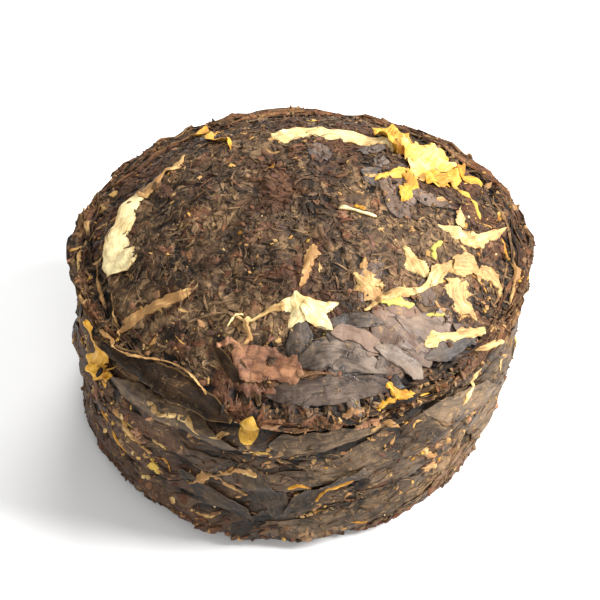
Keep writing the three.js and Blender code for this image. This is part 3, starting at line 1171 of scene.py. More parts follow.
@dataclass
class Threads(Litter):
    """Short stalk threads and leaf fibres, matted over the skin."""

    finish: str = "thread"
    hued: float = 0.2
    half_length: tuple[float, float] = (0.15, 0.7)
    half_width: tuple[float, float] = (0.02, 0.05)
    slant: float = 0.3
    stations: int = 5

    def build(self, chart: Chart) -> Piece:
        """Makes every thread at once as whole arrays.

        A thread's middle line is a short bowed line on the skin, lifted to the chart, and its
        section is a flat triangle that tapers to both ends.

        Args:
            chart: The settled chart.

        Returns:
            The piece.
        """
        draw = np.random.default_rng(self.seed)
        azimuth, along = chart.spread(draw, self.count, self.low, self.high)
        size = azimuth.shape
        on_wall = along > chart.skin.dome_arc - 0.5
        level, any_way = draw.normal(0.08, self.slant, size), draw.uniform(0, TURN, size)
        heading = np.where(on_wall, level, any_way)
        t = np.linspace(-1.0, 1.0, self.stations)[None, :]
        half_length = draw.uniform(*self.half_length, size)
        bend = draw.normal(0.0, 0.3, size) * half_length * (1.0 - t**2)
        x, y = t * half_length, bend + draw.normal(0.0, 0.04, (len(azimuth), self.stations))
        right, up = turned(x, y, heading)
        flat_right, flat_up = along * np.cos(azimuth) + right, along * np.sin(azimuth) + up
        around = azimuth + right / np.maximum(chart.radius_at(along), 1.0)
        line_azimuth = np.where(on_wall, around, np.arctan2(flat_up, flat_right))
        line_along = np.where(on_wall, along - up, np.hypot(flat_right, flat_up))
        line_along = np.clip(line_along, 0.0, chart.length)
        half_width = draw.uniform(*self.half_width, size)
        ground = chart.sample(chart.height, line_azimuth, line_along)
        end_lift = draw.uniform(0.0, 0.12, size) * np.clip(t * draw.choice([-1.0, 1.0], size), 0, 1)
        lift = ground + 0.3 * half_width + end_lift
        centre = chart.place(line_azimuth, line_along, lift)
        outward = chart.place(line_azimuth, line_along, lift + 0.2) - centre + [0.0, 0.0, 1e-5]
        outward /= np.linalg.norm(outward, axis=-1, keepdims=True)
        across = np.cross(outward, np.gradient(centre, axis=1))
        across /= np.linalg.norm(across, axis=-1, keepdims=True) + 1e-9
        taper = half_width * (1.0 - 0.75 * t**4)
        corner = (math.pi / 2 + np.arange(3) * TURN / 3)[:, None]
        ring = across[:, :, None] * np.cos(corner) + 0.6 * outward[:, :, None] * np.sin(corner)
        points = centre[:, :, None] + ring * taper[:, :, None, None]
        sunk = np.repeat(chart.sunk(line_azimuth, line_along, lift), 3, 1)
        return self.joined(points, sunk, *self._prism(), draw, smooth=True)

    def _prism(self) -> tuple[Faces, Faces]:
        """A thread's faces, a prism of three sides with both ends closed, and their atlas.

        Returns:
            The faces and the atlas.
        """
        station = np.arange(self.stations - 1)[:, None] * 3
        corner = np.arange(3)
        after = (corner + 1) % 3
        quads = [station + corner, station + after, station + 3 + after, station + 3 + corner]
        caps = np.array([[2, 1, 0], 3 * self.stations - np.array([3, 2, 1])])
        u = (station[..., None] / 3 + np.array([0, 0, 1, 1])) / (self.stations - 1)
        u = np.broadcast_to(u, (self.stations - 1, 3, 4))
        v = np.broadcast_to(corner[:, None] + np.array([0, 1, 1, 0]), u.shape) / 3.0
        sides = np.stack([0.1 + 0.7 * u, 0.1 + 0.8 * v], -1).reshape(-1, 4, 2)
        cap = np.array([[0.85, 0.1], [0.95, 0.1], [0.9, 0.4]])
        faces = (np.stack(quads, -1).reshape(-1, 4), caps)
        return faces, (sides, np.stack([cap, cap + [0, 0.45]]))


@dataclass
class Crumbs(Litter):
    """Small broken flakes of leaf, lying at all angles on the skin."""

    size: tuple[float, float] = (0.05, 0.26)
    tip: float = 0.35
    patchy: bool = False
    sides: int = 6

    def build(self, chart: Chart) -> Piece:
        """Makes every crumb at once as whole arrays.

        A crumb is a plate with uneven corners and a raised middle, tipped a little.

        Args:
            chart: The settled chart.

        Returns:
            The piece.
        """
        draw = np.random.default_rng(self.seed)
        azimuth, along = chart.spread(draw, self.count, self.low, self.high, self.patchy)
        size, corners = azimuth.shape, (len(azimuth), self.sides)
        radius = draw.uniform(0, 1, size) ** 2 * (self.size[1] - self.size[0]) + self.size[0]
        angle = np.arange(self.sides) * TURN / self.sides + draw.normal(0, 0.2, corners)
        far = radius * draw.uniform(0.55, 1.25, corners)
        x, y = far * np.cos(angle), far * np.sin(angle) * draw.uniform(0.35, 1.0, size)
        rim = turned(x, y, draw.uniform(0, TURN, size))
        right, up = (np.concatenate([np.zeros(size), places], 1) for places in rim)
        rim_azimuth = azimuth + right / np.maximum(chart.radius_at(along), 0.8)
        rim_along = np.clip(along - up, 0.0, chart.length)
        slope = draw.normal(0.0, self.tip, size) * right + draw.normal(0.0, self.tip, size) * up
        thickness = 0.04 + 0.2 * radius
        upper = chart.sample(chart.height, azimuth, along) + 0.6 * thickness + slope
        upper[:, :1] += 0.35 * thickness
        levels = (upper, upper - thickness * 1.4)
        points = np.concatenate([chart.place(rim_azimuth, rim_along, face) for face in levels], 1)
        sunk = np.tile(chart.sunk(rim_azimuth, rim_along, upper), 2)
        grid = DiscGrid(1, self.sides, 0.2, ((0.27, 0.6), (0.73, 0.6)), (0.06, 0.88, 0.1, 0.28))
        return self.joined(points, sunk, grid.faces(), grid.atlas(), draw, smooth=False)


# Finishes


@dataclass(frozen=True)
class Nodes:
    """A node tree with short ways to add nodes to it, whose inputs are sockets or constants."""

    tree: Tree

    def new(self, kind: str, inputs: dict[str | int, object], output: str | int = 0) -> Socket:
        """Adds a node of a kind with its inputs filled; returns one of its outputs.

        Args:
            kind: The kind.
            inputs: What goes into each input.
            output: The output that is wanted.

        Returns:
            That output.
        """
        node = self.tree.nodes.new(f"ShaderNode{kind}")
        for name, value in inputs.items():
            self.fill(node.inputs[name], value)
        return node.outputs[output]

    def fill(self, socket: Socket, value: object) -> None:
        """Links a socket to another one, or sets its own constant.

        Args:
            socket: The input.
            value: The other socket or the constant.
        """
        if isinstance(value, Socket):
            self.tree.links.new(value, socket)
        else:
            socket.default_value = value

    def noise(self, place: Socket, scale: float, detail: float, roughness: float,
              distortion: float = 0.0, output: str = "Fac") -> Socket:
        """Noise at a place."""
        inputs = {"Vector": place, "Scale": scale, "Detail": detail, "Roughness": roughness}
        return self.new("TexNoise", {**inputs, "Distortion": distortion}, output)

    def stretched(self, place: Socket, scale: tuple[float, float, float]) -> Socket:
        """A place scaled along each axis."""
        return self.new("Mapping", {"Vector": place, "Scale": scale})

    def warped(self, place: Socket, scale: float, shift: float) -> Socket:
        """A place moved about by noise.

        Args:
            place: The place.
            scale: The noise's scale.
            shift: How far it moves.

        Returns:
            The moved place.
        """
        noise = self.noise(place, scale, 3.0, 0.6, output="Color")
        moved = self.new("VectorMath", {})
        moved.node.operation = "MULTIPLY_ADD"
        for number, value in enumerate((noise, (shift,) * 3, place)):
            self.fill(moved.node.inputs[number], value)
        return moved

    def cell_edges(self, place: Socket, scale: float, width: float) -> Socket:
        """The distance to the borders of cells, from 0 on them to 1 at a width.

        Args:
            place: The place.
            scale: The cells' scale.
            width: The width.

        Returns:
            The distance.
        """
        cells = self.new("TexVoronoi", {"Vector": place, "Scale": scale}, "Distance")
        cells.node.feature = "DISTANCE_TO_EDGE"
        return self.range(cells, 0.0, width)

    def maths(self, operation: str, first: object, second: object, clamp: bool = False) -> Socket:
        """A sum of two values.

        Args:
            operation: Its name.
            first, second: The values.
            clamp: Whether it is kept from 0 to 1.

        Returns:
            The result.
        """
        result = self.new("Math", {0: first, 1: second})
        result.node.operation = operation
        result.node.use_clamp = clamp
        return result

    def range(self, value: Socket, low: float, high: float, to_low: float = 0.0,
              to_high: float = 1.0) -> Socket:
        """A value carried from one range to another and kept within it."""
        ends = {"From Min": low, "From Max": high, "To Min": to_low, "To Max": to_high}
        return self.new("MapRange", {"Value": value, **ends}, "Result")

    def mix(self, factor: object, first: object, second: object, blend: str = "MIX") -> Socket:
        """A mix of two colours.

        Args:
            factor: The second's share.
            first, second: The colours.
            blend: The way they mix.

        Returns:
            The mix.
        """
        node = self.new("Mix", {}).node
        node.data_type = "RGBA"
        node.blend_type = blend
        sockets = {socket.identifier: socket for socket in (*node.inputs, *node.outputs)}
        for name, value in (("Factor_Float", factor), ("A_Color", first), ("B_Color", second)):
            self.fill(sockets[name], (*value, 1.0) if isinstance(value, tuple) else value)
        return sockets["Result_Color"]

    def ramp(self, value: Socket, *colours: Colour) -> Socket:
        """A colour ramp with even stops.

        Args:
            value: From 0 to 1.
            colours: One for each stop.

        Returns:
            The colour there.
        """
        result = self.new("ValToRGB", {"Fac": value}, "Color")
        elements = result.node.color_ramp.elements
        while len(elements) < len(colours):
            elements.new(1.0)
        for number, (element, colour) in enumerate(zip(elements, colours)):
            element.position = number / (len(colours) - 1)
            element.color = (*colour, 1.0)
        return result

    def attribute(self, name: str) -> Socket:
        """One of the mesh's own attributes.

        Args:
            name: Its name.

        Returns:
            Its value.
        """
        result = self.new("Attribute", {}, "Fac")
        result.node.attribute_name = name
        return result


def leaf_grain_group() -> Tree:
    """The grain that every pressed leaf shares.

    Patch is noise over several millimetres and Mottle finer noise, Fibre is noise stretched
    along the leaf, Crease is the distance to the borders of small warped cells, Crack the same
    for long cells that lie along the leaf, and Height joins them for a bump.

    Returns:
        The node group.
    """
    tree = bpy.data.node_groups.new("pressed leaf grain", "ShaderNodeTree")
    nodes = Nodes(tree)
    for name, kind in (("Place", "Vector"), ("Leaf place", "Vector"), ("Crease depth", "Float"),
                       ("Fibre depth", "Float")):
        tree.interface.new_socket(name, in_out="INPUT", socket_type=f"NodeSocket{kind}")
    for name in ("Patch", "Mottle", "Fleck", "Fibre", "Crease", "Crack", "Height"):
        tree.interface.new_socket(name, in_out="OUTPUT", socket_type="NodeSocketFloat")
    inside = tree.nodes.new("NodeGroupInput").outputs
    outside = tree.nodes.new("NodeGroupOutput").inputs
    place, leaf_place = inside["Place"], inside["Leaf place"]
    patch = nodes.noise(place, 150.0, 3.0, 0.55, 0.6)
    mottle = nodes.noise(place, 620.0, 6.0, 0.66, 0.4)
    fleck = nodes.noise(place, 2100.0, 5.0, 0.7, 0.8)
    fibre = nodes.noise(nodes.stretched(leaf_place, (0.9, 7.0, 1.0)), 1.0, 5.0, 0.62, 0.6)
    crease = nodes.cell_edges(nodes.warped(place, 900.0, 0.0007), 1150.0, 0.16)
    long_cells = nodes.stretched(nodes.warped(leaf_place, 0.9, 1.1), (0.22, 0.42, 1.0))
    crack = nodes.cell_edges(long_cells, 1.0, 0.035)
    crack = nodes.maths("MAXIMUM", crack, nodes.range(mottle, 0.48, 0.56))
    height = nodes.maths("MULTIPLY", crease, inside["Crease depth"])
    for depth in (
        nodes.maths("MULTIPLY", crack, 0.4),
        nodes.maths("MULTIPLY", fibre, inside["Fibre depth"]),
        nodes.maths("MULTIPLY", fleck, 0.7),
    ):
        height = nodes.maths("ADD", height, depth)
    for socket, value in zip(outside, (patch, mottle, fleck, fibre, crease, crack, height)):
        tree.links.new(value, socket)
    return tree


TAN = (0.35, 0.21, 0.085)


@dataclass(frozen=True)
class LeafFinish:
    """The finish of one kind of leaf: its colours from dark to light, its sheen, its grain, and its
    painted shade.
    """

    name: str
    dark: Colour
    middle: Colour
    light: Colour
    other: Colour
    rim: Colour
    fleck: Colour = TAN
    rim_share: float = 0.5
    fleck_low: float = 0.56
    fleck_high: float = 0.68
    fleck_share: float = 0.8
    rough_low: float = 0.5
    rough_high: float = 0.8
    specular: float = 0.35
    bump: float = 0.00006
    # crease sets both the depth of the creases' bump and how much painted shade darkens them.
    crease: float = 0.5
    fibre: float = 0.5
    contrast: float = 1.0
    patches: float = 1.1
    blush: float = 0.0
    # How far painted shade darkens the crack lines, and the places sunk between others.
    crack_shade: float = 0.3
    crevice_shade: float = 0.88

    def material(self, grain: Tree) -> bpy.types.Material:
        """Builds the material.

        The base runs from dark to light with the leaf's tone, its patches, mottle and fibres,
        turns to the other colour with its hue and in some patches, takes on light flecks and a
        torn rim, and then takes painted shade: it darkens in its creases, along its crack lines
        and where it is sunk between others, where shade would fall.

        Args:
            grain: The shared grain group.

        Returns:
            The material.
        """
        material = bpy.data.materials.new(self.name)
        material.use_nodes = True
        tree = material.node_tree
        nodes = Nodes(tree)
        shader = tree.nodes["Principled BSDF"].inputs
        group = tree.nodes.new("ShaderNodeGroup")
        group.node_tree = grain
        leaf_place = nodes.new("UVMap", {})
        leaf_place.node.uv_map = "LeafPlace"
        for name, value in (
            ("Place", nodes.new("TexCoord", {}, "Object")), ("Leaf place", leaf_place),
            ("Crease depth", self.crease), ("Fibre depth", self.fibre),
        ):
            nodes.fill(group.inputs[name], value)
        looks = group.outputs
        level = nodes.attribute("tone")
        for name, strength in (("Mottle", 1.5 * self.contrast), ("Patch", self.patches),
                               ("Fibre", 2.6 * self.fibre * self.contrast)):
            apart = nodes.maths("SUBTRACT", looks[name], 0.5)
            apart = nodes.maths("MULTIPLY", apart, strength)
            level = nodes.maths("ADD", level, apart, clamp=name == "Fibre")
        base = nodes.ramp(level, self.dark, self.middle, self.light)
        blush = nodes.range(looks["Patch"], 0.46, 0.36, 0.0, self.blush)
        base = nodes.mix(nodes.maths("MAXIMUM", nodes.attribute("hue"), blush), base, self.other)
        flecks = nodes.range(looks["Fleck"], self.fleck_low, self.fleck_high)
        flecks = nodes.maths("MULTIPLY", flecks, self.fleck_share)
        patchy = nodes.range(looks["Patch"], 0.42, 0.58, 0.3, 1.0)
        base = nodes.mix(nodes.maths("MULTIPLY", flecks, patchy), base, self.fleck)
        torn = nodes.range(nodes.attribute("rim"), 0.85, 1.0, 0.0, self.rim_share)
        base = nodes.mix(torn, base, self.rim)
        # Painted shade: darker in the creases, along the crack lines and where the leaf is sunk
        # between others.
        for shade in (
            nodes.range(looks["Crease"], 0.0, 1.0, 1.0 - 0.7 * self.crease, 1.0),
            nodes.range(looks["Crack"], 0.0, 1.0, 1.0 - self.crack_shade, 1.0),
            nodes.range(nodes.attribute("sunk"), 0.15, 0.85, 1.0, 1.0 - self.crevice_shade),
        ):
            base = nodes.mix(1.0, base, shade, "MULTIPLY")
        rough = nodes.range(looks["Mottle"], 0.35, 0.65, self.rough_low, self.rough_high)
        relief = {"Strength": 0.8, "Distance": self.bump, "Height": looks["Height"]}
        for name, value in (
            ("Base Color", base), ("Roughness", rough), ("Specular IOR Level", self.specular),
            ("Normal", nodes.new("Bump", relief)),
        ):
            nodes.fill(shader[name], value)
        return material


# Sub-assemblies


@dataclass
class PressedBody:
    """The nest's own body: matted fragments, worked into one closed skin."""

    name: str = "pressed_body"
    finish: str = "matted"
    slot: str = "pressed_leaf"
    fragments: int = 2600
    rows: int = 214
    columns: int = 440
    seed: int = 11
    surface: dict[str, Array] = field(default_factory=dict, init=False, repr=False)

    def lay(self, chart: Chart) -> None:
        """Lays the fragments that the body's surface is made of, and keeps that surface.

        Fragments are spread by the golden turn at even areas.

        Args:
            chart: The chart that they raise.
        """
        draw = np.random.default_rng(self.seed)
        share = (np.arange(self.fragments) + 0.5) / self.fragments
        order = draw.permutation(self.fragments)
        area = np.cumsum(chart.radius_at(chart.row_along))
        alongs = np.interp(share * area[-1], area, chart.row_along)[order]
        for number, along in zip(order, alongs):
            on_dome = along < chart.skin.dome_arc - 1.0
            leaf = Leaf(
                golden(number), float(along),
                heading=draw.uniform(0, TURN) if on_dome else draw.normal(0.08, 0.3),
                half_length=draw.uniform(0.4, 1.7), half_width=draw.uniform(0.2, 0.8),
                outline=Outline.TORN, wrapped=not on_dome, bow=draw.uniform(-0.2, 0.2),
                thickness=draw.uniform(0.06, 0.16), rim_lift=0.02, crumple=0.03, jag=0.18,
                tone=about(draw, 0.42, 0.22), hue=sometimes(draw, 0.12, 0.3, 0.9),
                seed=int(number) + 1000,
            )
            chart.lay(leaf, stiffness=2)
        chart.height -= box_blur(chart.height, 12, wraps=True)
        maps = {"height": chart.height, **chart.looks}
        self.surface = {name: values.copy() for name, values in maps.items()}

    def build(self, chart: Chart) -> Piece:
        """Makes the closed mesh of the body.

        A grid of rows along the skin and columns round it, closed by one vertex at each pole.

        Args:
            chart: The settled chart.

        Returns:
            The piece.
        """
        along = np.linspace(0.0, chart.length, self.rows + 2)[1:-1]
        azimuth = np.arange(self.columns) * TURN / self.columns
        along = np.concatenate([[0.0], np.repeat(along, self.columns), [chart.length]])
        azimuth = np.concatenate([[0.0], np.tile(azimuth, self.rows), [0.0]])
        looks = {name: chart.sample(kept, azimuth, along) for name, kept in self.surface.items()}
        height = chart.pressed(azimuth, along, looks.pop("height"))
        looks["sunk"] = chart.sunk(azimuth, along, height)
        pole = 1 + self.rows * self.columns
        ring = pole - self.columns + np.arange(self.columns)
        foot = np.stack([np.full(self.columns, pole), np.roll(ring, -1), ring], -1)
        faces = (ring_quads(self.rows, self.columns), np.concatenate([fan(self.columns), foot]))
        bake = self._unrolled()
        scale = np.array([TURN * chart.skin.dome_radius, chart.length])
        maps = {"OFBake": bake, "LeafPlace": bake * scale}
        return mesh_object(self.name, chart.place(azimuth, along, height), faces, looks, maps)

    def _unrolled(self) -> Array:
        """The body's map: azimuth across and distance along up, with a fan of teeth at a pole.

        Returns:
            A place for each face corner.
        """
        column = np.arange(self.columns)
        across = np.stack([column, column, column + 1, column + 1], -1) / self.columns
        up = (np.arange(self.rows - 1)[:, None] + np.array([1, 2, 2, 1])) / (self.rows + 1)
        across, up = np.broadcast_arrays(across[None], up[:, None])
        edge = 1.0 / (self.rows + 1)
        top = np.stack([column + 0.5, column, column + 1.0], -1) / self.columns
        foot = np.stack([column + 0.5, column + 1.0, column], -1) / self.columns
        parts = ((across, up), (top, [0.0, edge, edge]), (foot, [1.0, 1.0 - edge, 1.0 - edge]))
        return np.concatenate(
            [np.stack([u, np.broadcast_to(v, u.shape)], -1).reshape(-1, 2) for u, v in parts]
        )


def golden(number: int, start: float = 0.0) -> float:
    """The azimuth of one of many leaves that are spread by the golden turn."""
    return (number * GOLDEN_TURN + start) % TURN


def about(draw: Draw, middle: float, spread: float, shift: float = 0.0, low: float = 0.0,
          high: float = 1.0) -> float:
    """A number drawn about a middle, shifted and kept between limits."""
    return float(np.clip(draw.normal(middle, spread) + shift, low, high))


def sometimes(draw: Draw, chance: float, low: float, high: float) -> float:
    """A number between two others by chance, and 0 otherwise."""
    return float(draw.uniform() < chance) * draw.uniform(low, high)


def shaded(azimuth: float) -> float:
    """How much painted shade darkens the wall's leaves: 1 at the left of the front, falling to 0
    elsewhere.
    """
    return float(hump(azimuth - math.radians(212.0), 0.6))


def worn_smooth(azimuth: float, along: float) -> float:
    """How smooth and bare the dome is: 1 low at the front and right, falling to 0 elsewhere.

    Args:
        azimuth, along: A place on the skin.

    Returns:
        The share there.
    """
    x, y = along * math.cos(azimuth), along * math.sin(azimuth)
    spots = ((4.5, -10.6, 3.2), (0.8, -12.0, 2.4), (7.6, -9.0, 3.0), (6.0, 2.5, 2.0))
    return max(math.exp(-(((x - a) ** 2 + (y - b) ** 2) / r**2) ** 2) for a, b, r in spots)


class DomeLeaves(LeafLayer):
    """Larger dark leaves pressed flat on the dome, most of them low at its front and right."""

    def leaves(self, skin: Skin) -> Iterator[Leaf]:
        """Leaves spread over the dome, fewer where it is matted.

        Args:
            skin: The form under them.

        Returns:
            The leaves.
        """
        draw = np.random.default_rng(self.seed)
        for number in range(self.count):
            azimuth = golden(number)
            along = skin.dome_arc * math.sqrt((number + 0.5) / self.count) * 0.97
            if draw.uniform() > 0.01 + 0.9 * worn_smooth(azimuth, along):
                continue
            yield Leaf(
                azimuth, along, heading=draw.uniform(0, TURN), half_length=draw.uniform(0.7, 1.8),
                half_width=draw.uniform(0.4, 1.0),
                outline=draw.choice([Outline.TORN, Outline.LEAF, Outline.WEDGE]),
                bow=draw.uniform(-0.2, 0.2), thickness=draw.uniform(0.06, 0.2),
                rim_lift=draw.uniform(-0.04, 0.02), curl=draw.choice([0.0, 0.0, 0.1]),
                curl_side=draw.uniform(0, TURN), crumple=draw.uniform(0.01, 0.035), jag=0.1,
                midrib=draw.choice([0.0, 0.04]), tone=about(draw, 0.48, 0.26),
                hue=sometimes(draw, 0.5, 0.1, 0.6), seed=number + 3000,
            )


class WallWraps(LeafLayer):
    """Long leaves wrapped round the wall, each lying over the one below."""

    def leaves(self, skin: Skin) -> Iterator[Leaf]:
        """Leaves laid from the foot up, slanting a little up to the right.

        Args:
            skin: The form under them.

        Returns:
            The leaves.
        """
        draw = np.random.default_rng(self.seed)
        top, bottom = skin.dome_arc + 1.7, skin.wall_end + 0.4
        for number in range(self.count):
            share, azimuth = number / self.count, golden(number)
            # Painted shade at the left of the front: these leaves get a lower tone and a warmer
            # hue, standing in for shade and warm reflected light.
            dark = shaded(azimuth)
            yield Leaf(
                azimuth, along=bottom + (top - bottom) * share + draw.normal(0.0, 0.9),
                heading=draw.normal(0.1, 0.16), half_length=draw.uniform(1.6, 5.0),
                half_width=draw.uniform(0.5, 1.6),
                outline=draw.choice([Outline.TORN, Outline.LEAF, Outline.STRIP]), wrapped=True,
                bow=draw.uniform(-0.35, 0.35), thickness=0.11, rim_lift=draw.uniform(0.0, 0.06),
                curl=draw.choice([0.0, 0.08, 0.2]), curl_side=-math.pi / 2,
                crumple=draw.uniform(0.03, 0.07), midrib=draw.choice([0.0, 0.04]),
                tone=about(draw, 0.5, 0.2, -0.6 * dark, -0.1),
                hue=max(sometimes(draw, 0.1, 0.2, 0.7), 0.4 * dark), seed=number + 5000,
            )


class DomeFlakes(LeafLayer):
    """Small torn flakes that matt the dome, with twisted bits among them."""

    def leaves(self, skin: Skin) -> Iterator[Leaf]:
        """Flakes spread over the dome, few on the smooth leaves.

        Args:
            skin: The form under them.

        Returns:
            The flakes.
        """
        draw = np.random.default_rng(self.seed)
        for number in draw.permutation(self.count):
            azimuth = golden(number)
            along = skin.dome_arc * math.sqrt((number + 0.5) / self.count) * 0.99
            bare = 0.4 * (1.0 - clustered(azimuth + 1.0, along))
            if draw.uniform() < max(0.7 * worn_smooth(azimuth, along), bare):
                continue
            twisted = draw.uniform() < 0.16
            yield Leaf(
                azimuth, along, heading=draw.uniform(0, TURN),
                half_length=draw.uniform(0.16, 0.55) + 0.3 * twisted,
                half_width=0.08 if twisted else draw.uniform(0.08, 0.3),
                outline=Outline.SPINDLE if twisted else draw.choice([Outline.TORN, Outline.WEDGE]),
                bow=draw.uniform(-0.25, 0.25),
                thickness=0.12 if twisted else draw.uniform(0.04, 0.09),
                rim_lift=-0.08 if twisted else 0.01, curl=draw.choice([0.0, 0.04, 0.09]),
                curl_side=draw.uniform(0, TURN), crumple=0.03, crumple_scale=0.9, jag=0.2,
                tone=about(draw, 0.51, 0.22, 0.1 * twisted), hue=sometimes(draw, 0.12, 0.3, 0.9),
                seed=int(number) + 13000,
            )


class WallFlakes(LeafLayer):
    """Small torn flakes and slivers on the wall, most of them nearly level."""

    def leaves(self, skin: Skin) -> Iterator[Leaf]:
        """Flakes spread over the wall and the foot's edge.

        Args:
            skin: The form under them.

        Returns:
            The flakes.
        """
        draw = np.random.default_rng(self.seed)
        for number in draw.permutation(self.count):
            azimuth, share = golden(number), (number + 0.5) / self.count
            along = skin.dome_arc + 1.7 + (skin.wall_end + 0.9 - skin.dome_arc) * share
            thick = float(clustered(azimuth, along))
            if draw.uniform() > 0.25 + thick:
                continue
            # The tone is lowered by painted shade at the left of the front.
            yield Leaf(
                azimuth, along, heading=draw.normal(0.1, 0.35 + 0.5 * thick),
                half_length=draw.uniform(0.2, 0.7), half_width=draw.uniform(0.06, 0.24),
                outline=draw.choice([Outline.TORN, Outline.SPINDLE, Outline.WEDGE]), wrapped=True,
                bow=draw.uniform(-0.2, 0.2), thickness=draw.uniform(0.05, 0.1),
                rim_lift=draw.uniform(-0.04, 0.03), curl=draw.choice([0.0, 0.04, 0.08]),
                curl_side=draw.uniform(0, TURN), crumple=0.03, crumple_scale=1.0, jag=0.2,
                tone=about(draw, 0.34 + 0.4 * thick, 0.2, -0.35 * shaded(azimuth), 0.0, 1.2),
                hue=sometimes(draw, 0.16, 0.3, 1.0), seed=int(number) + 17000,
            )


class LipStrands(LeafLayer):
    """The torn edge of the dome: strips that run round it, over the crevice below."""

    def leaves(self, skin: Skin) -> Iterator[Leaf]:
        """Shreds round the edge first, then narrow strips that run along it.

        Args:
            skin: The form under them.

        Returns:
            The strands.
        """
        draw = np.random.default_rng(self.seed)
        for number in range(self.count):
            azimuth, strand = golden(number), number > 0.4 * self.count
            front = float(hump(azimuth - math.radians(268.0), 0.75))
            if strand and draw.uniform() < 0.93 * front:
                continue
            inwards = abs(draw.normal(0.0, 0.6)) if strand else draw.normal(0.1, 0.35)
            yield Leaf(
                azimuth, along=skin.dome_arc + 0.25 - inwards,
                heading=draw.normal(0.0, 0.06 if strand else 0.3 + 0.3 * front),
                half_length=draw.uniform(1.0, 3.4) if strand else draw.uniform(0.4, 1.4),
                half_width=draw.uniform(0.05, 0.14) if strand else draw.uniform(0.1, 0.34),
                outline=draw.choice([Outline.TORN, Outline.SPINDLE]), wrapped=True,
                bow=draw.uniform(-0.15, 0.15), thickness=draw.uniform(0.06, 0.14), rim_lift=0.02,
                curl=draw.uniform(0.0, 0.12), curl_side=-math.pi / 2, crumple=0.04, jag=0.25,
                tone=about(draw, 0.5 if strand else 0.36, 0.3, -0.15 * front),
                hue=draw.choice([0.0, 0.2, 0.4, 0.8]), seed=number + 7000,
            )


@dataclass
class StrewnScraps(LeafLayer):
    """Small scraps of one colour, strewn in patches over the skin."""

    stiffness: int = 1
    longest: float = 1.4
    widest: float = 0.4
    start: float = 0.8
    tones: tuple[float, float] = (0.15, 0.7)
    hues: tuple[float, ...] = (0.0, 0.0, 0.4)

    def leaves(self, skin: Skin) -> Iterator[Leaf]:
        """Scraps at all headings on the dome, and nearly level ones on the wall.

        Args:
            skin: The form under them.

        Returns:
            The scraps.
        """
        draw = np.random.default_rng(self.seed)
        for number in range(self.count):
            azimuth = golden(number, self.start)
            along = 2.0 + (skin.wall_end - 1.5) * math.sqrt((number + 0.5) / self.count)
            if draw.uniform() > clustered(azimuth, along):
                continue
            on_wall = along > skin.dome_arc - 1.0
            yield Leaf(
                azimuth, along, heading=draw.normal(0.1, 0.5) if on_wall else draw.uniform(0, TURN),
                half_length=self.longest * draw.uniform(0.2, 1.0) ** 2 + 0.15,
                half_width=self.widest * draw.uniform(0.3, 1.0), outline=draw.choice(list(Outline)),
                wrapped=on_wall, bow=draw.uniform(-0.3, 0.3), thickness=0.05,
                rim_lift=draw.uniform(-0.06, 0.04), crumple=0.05, crumple_scale=0.8, jag=0.3,
                tone=draw.uniform(*self.tones), hue=draw.choice(self.hues),
                seed=number + self.seed * 100,
            )


def ribbons(*rows: tuple, **shared: float | bool) -> tuple[Ribbon, ...]:
    """Ribbons from rows of tone, jag, the row's own fields and its stations.

    Args:
        rows: A row for each ribbon.
        shared: Fields that they all share.

    Returns:
        The ribbons.
    """
    return tuple(
        Ribbon(tuple(stations), tone, jag=jag, **{**shared, **own})
        for tone, jag, own, *stations in rows
    )


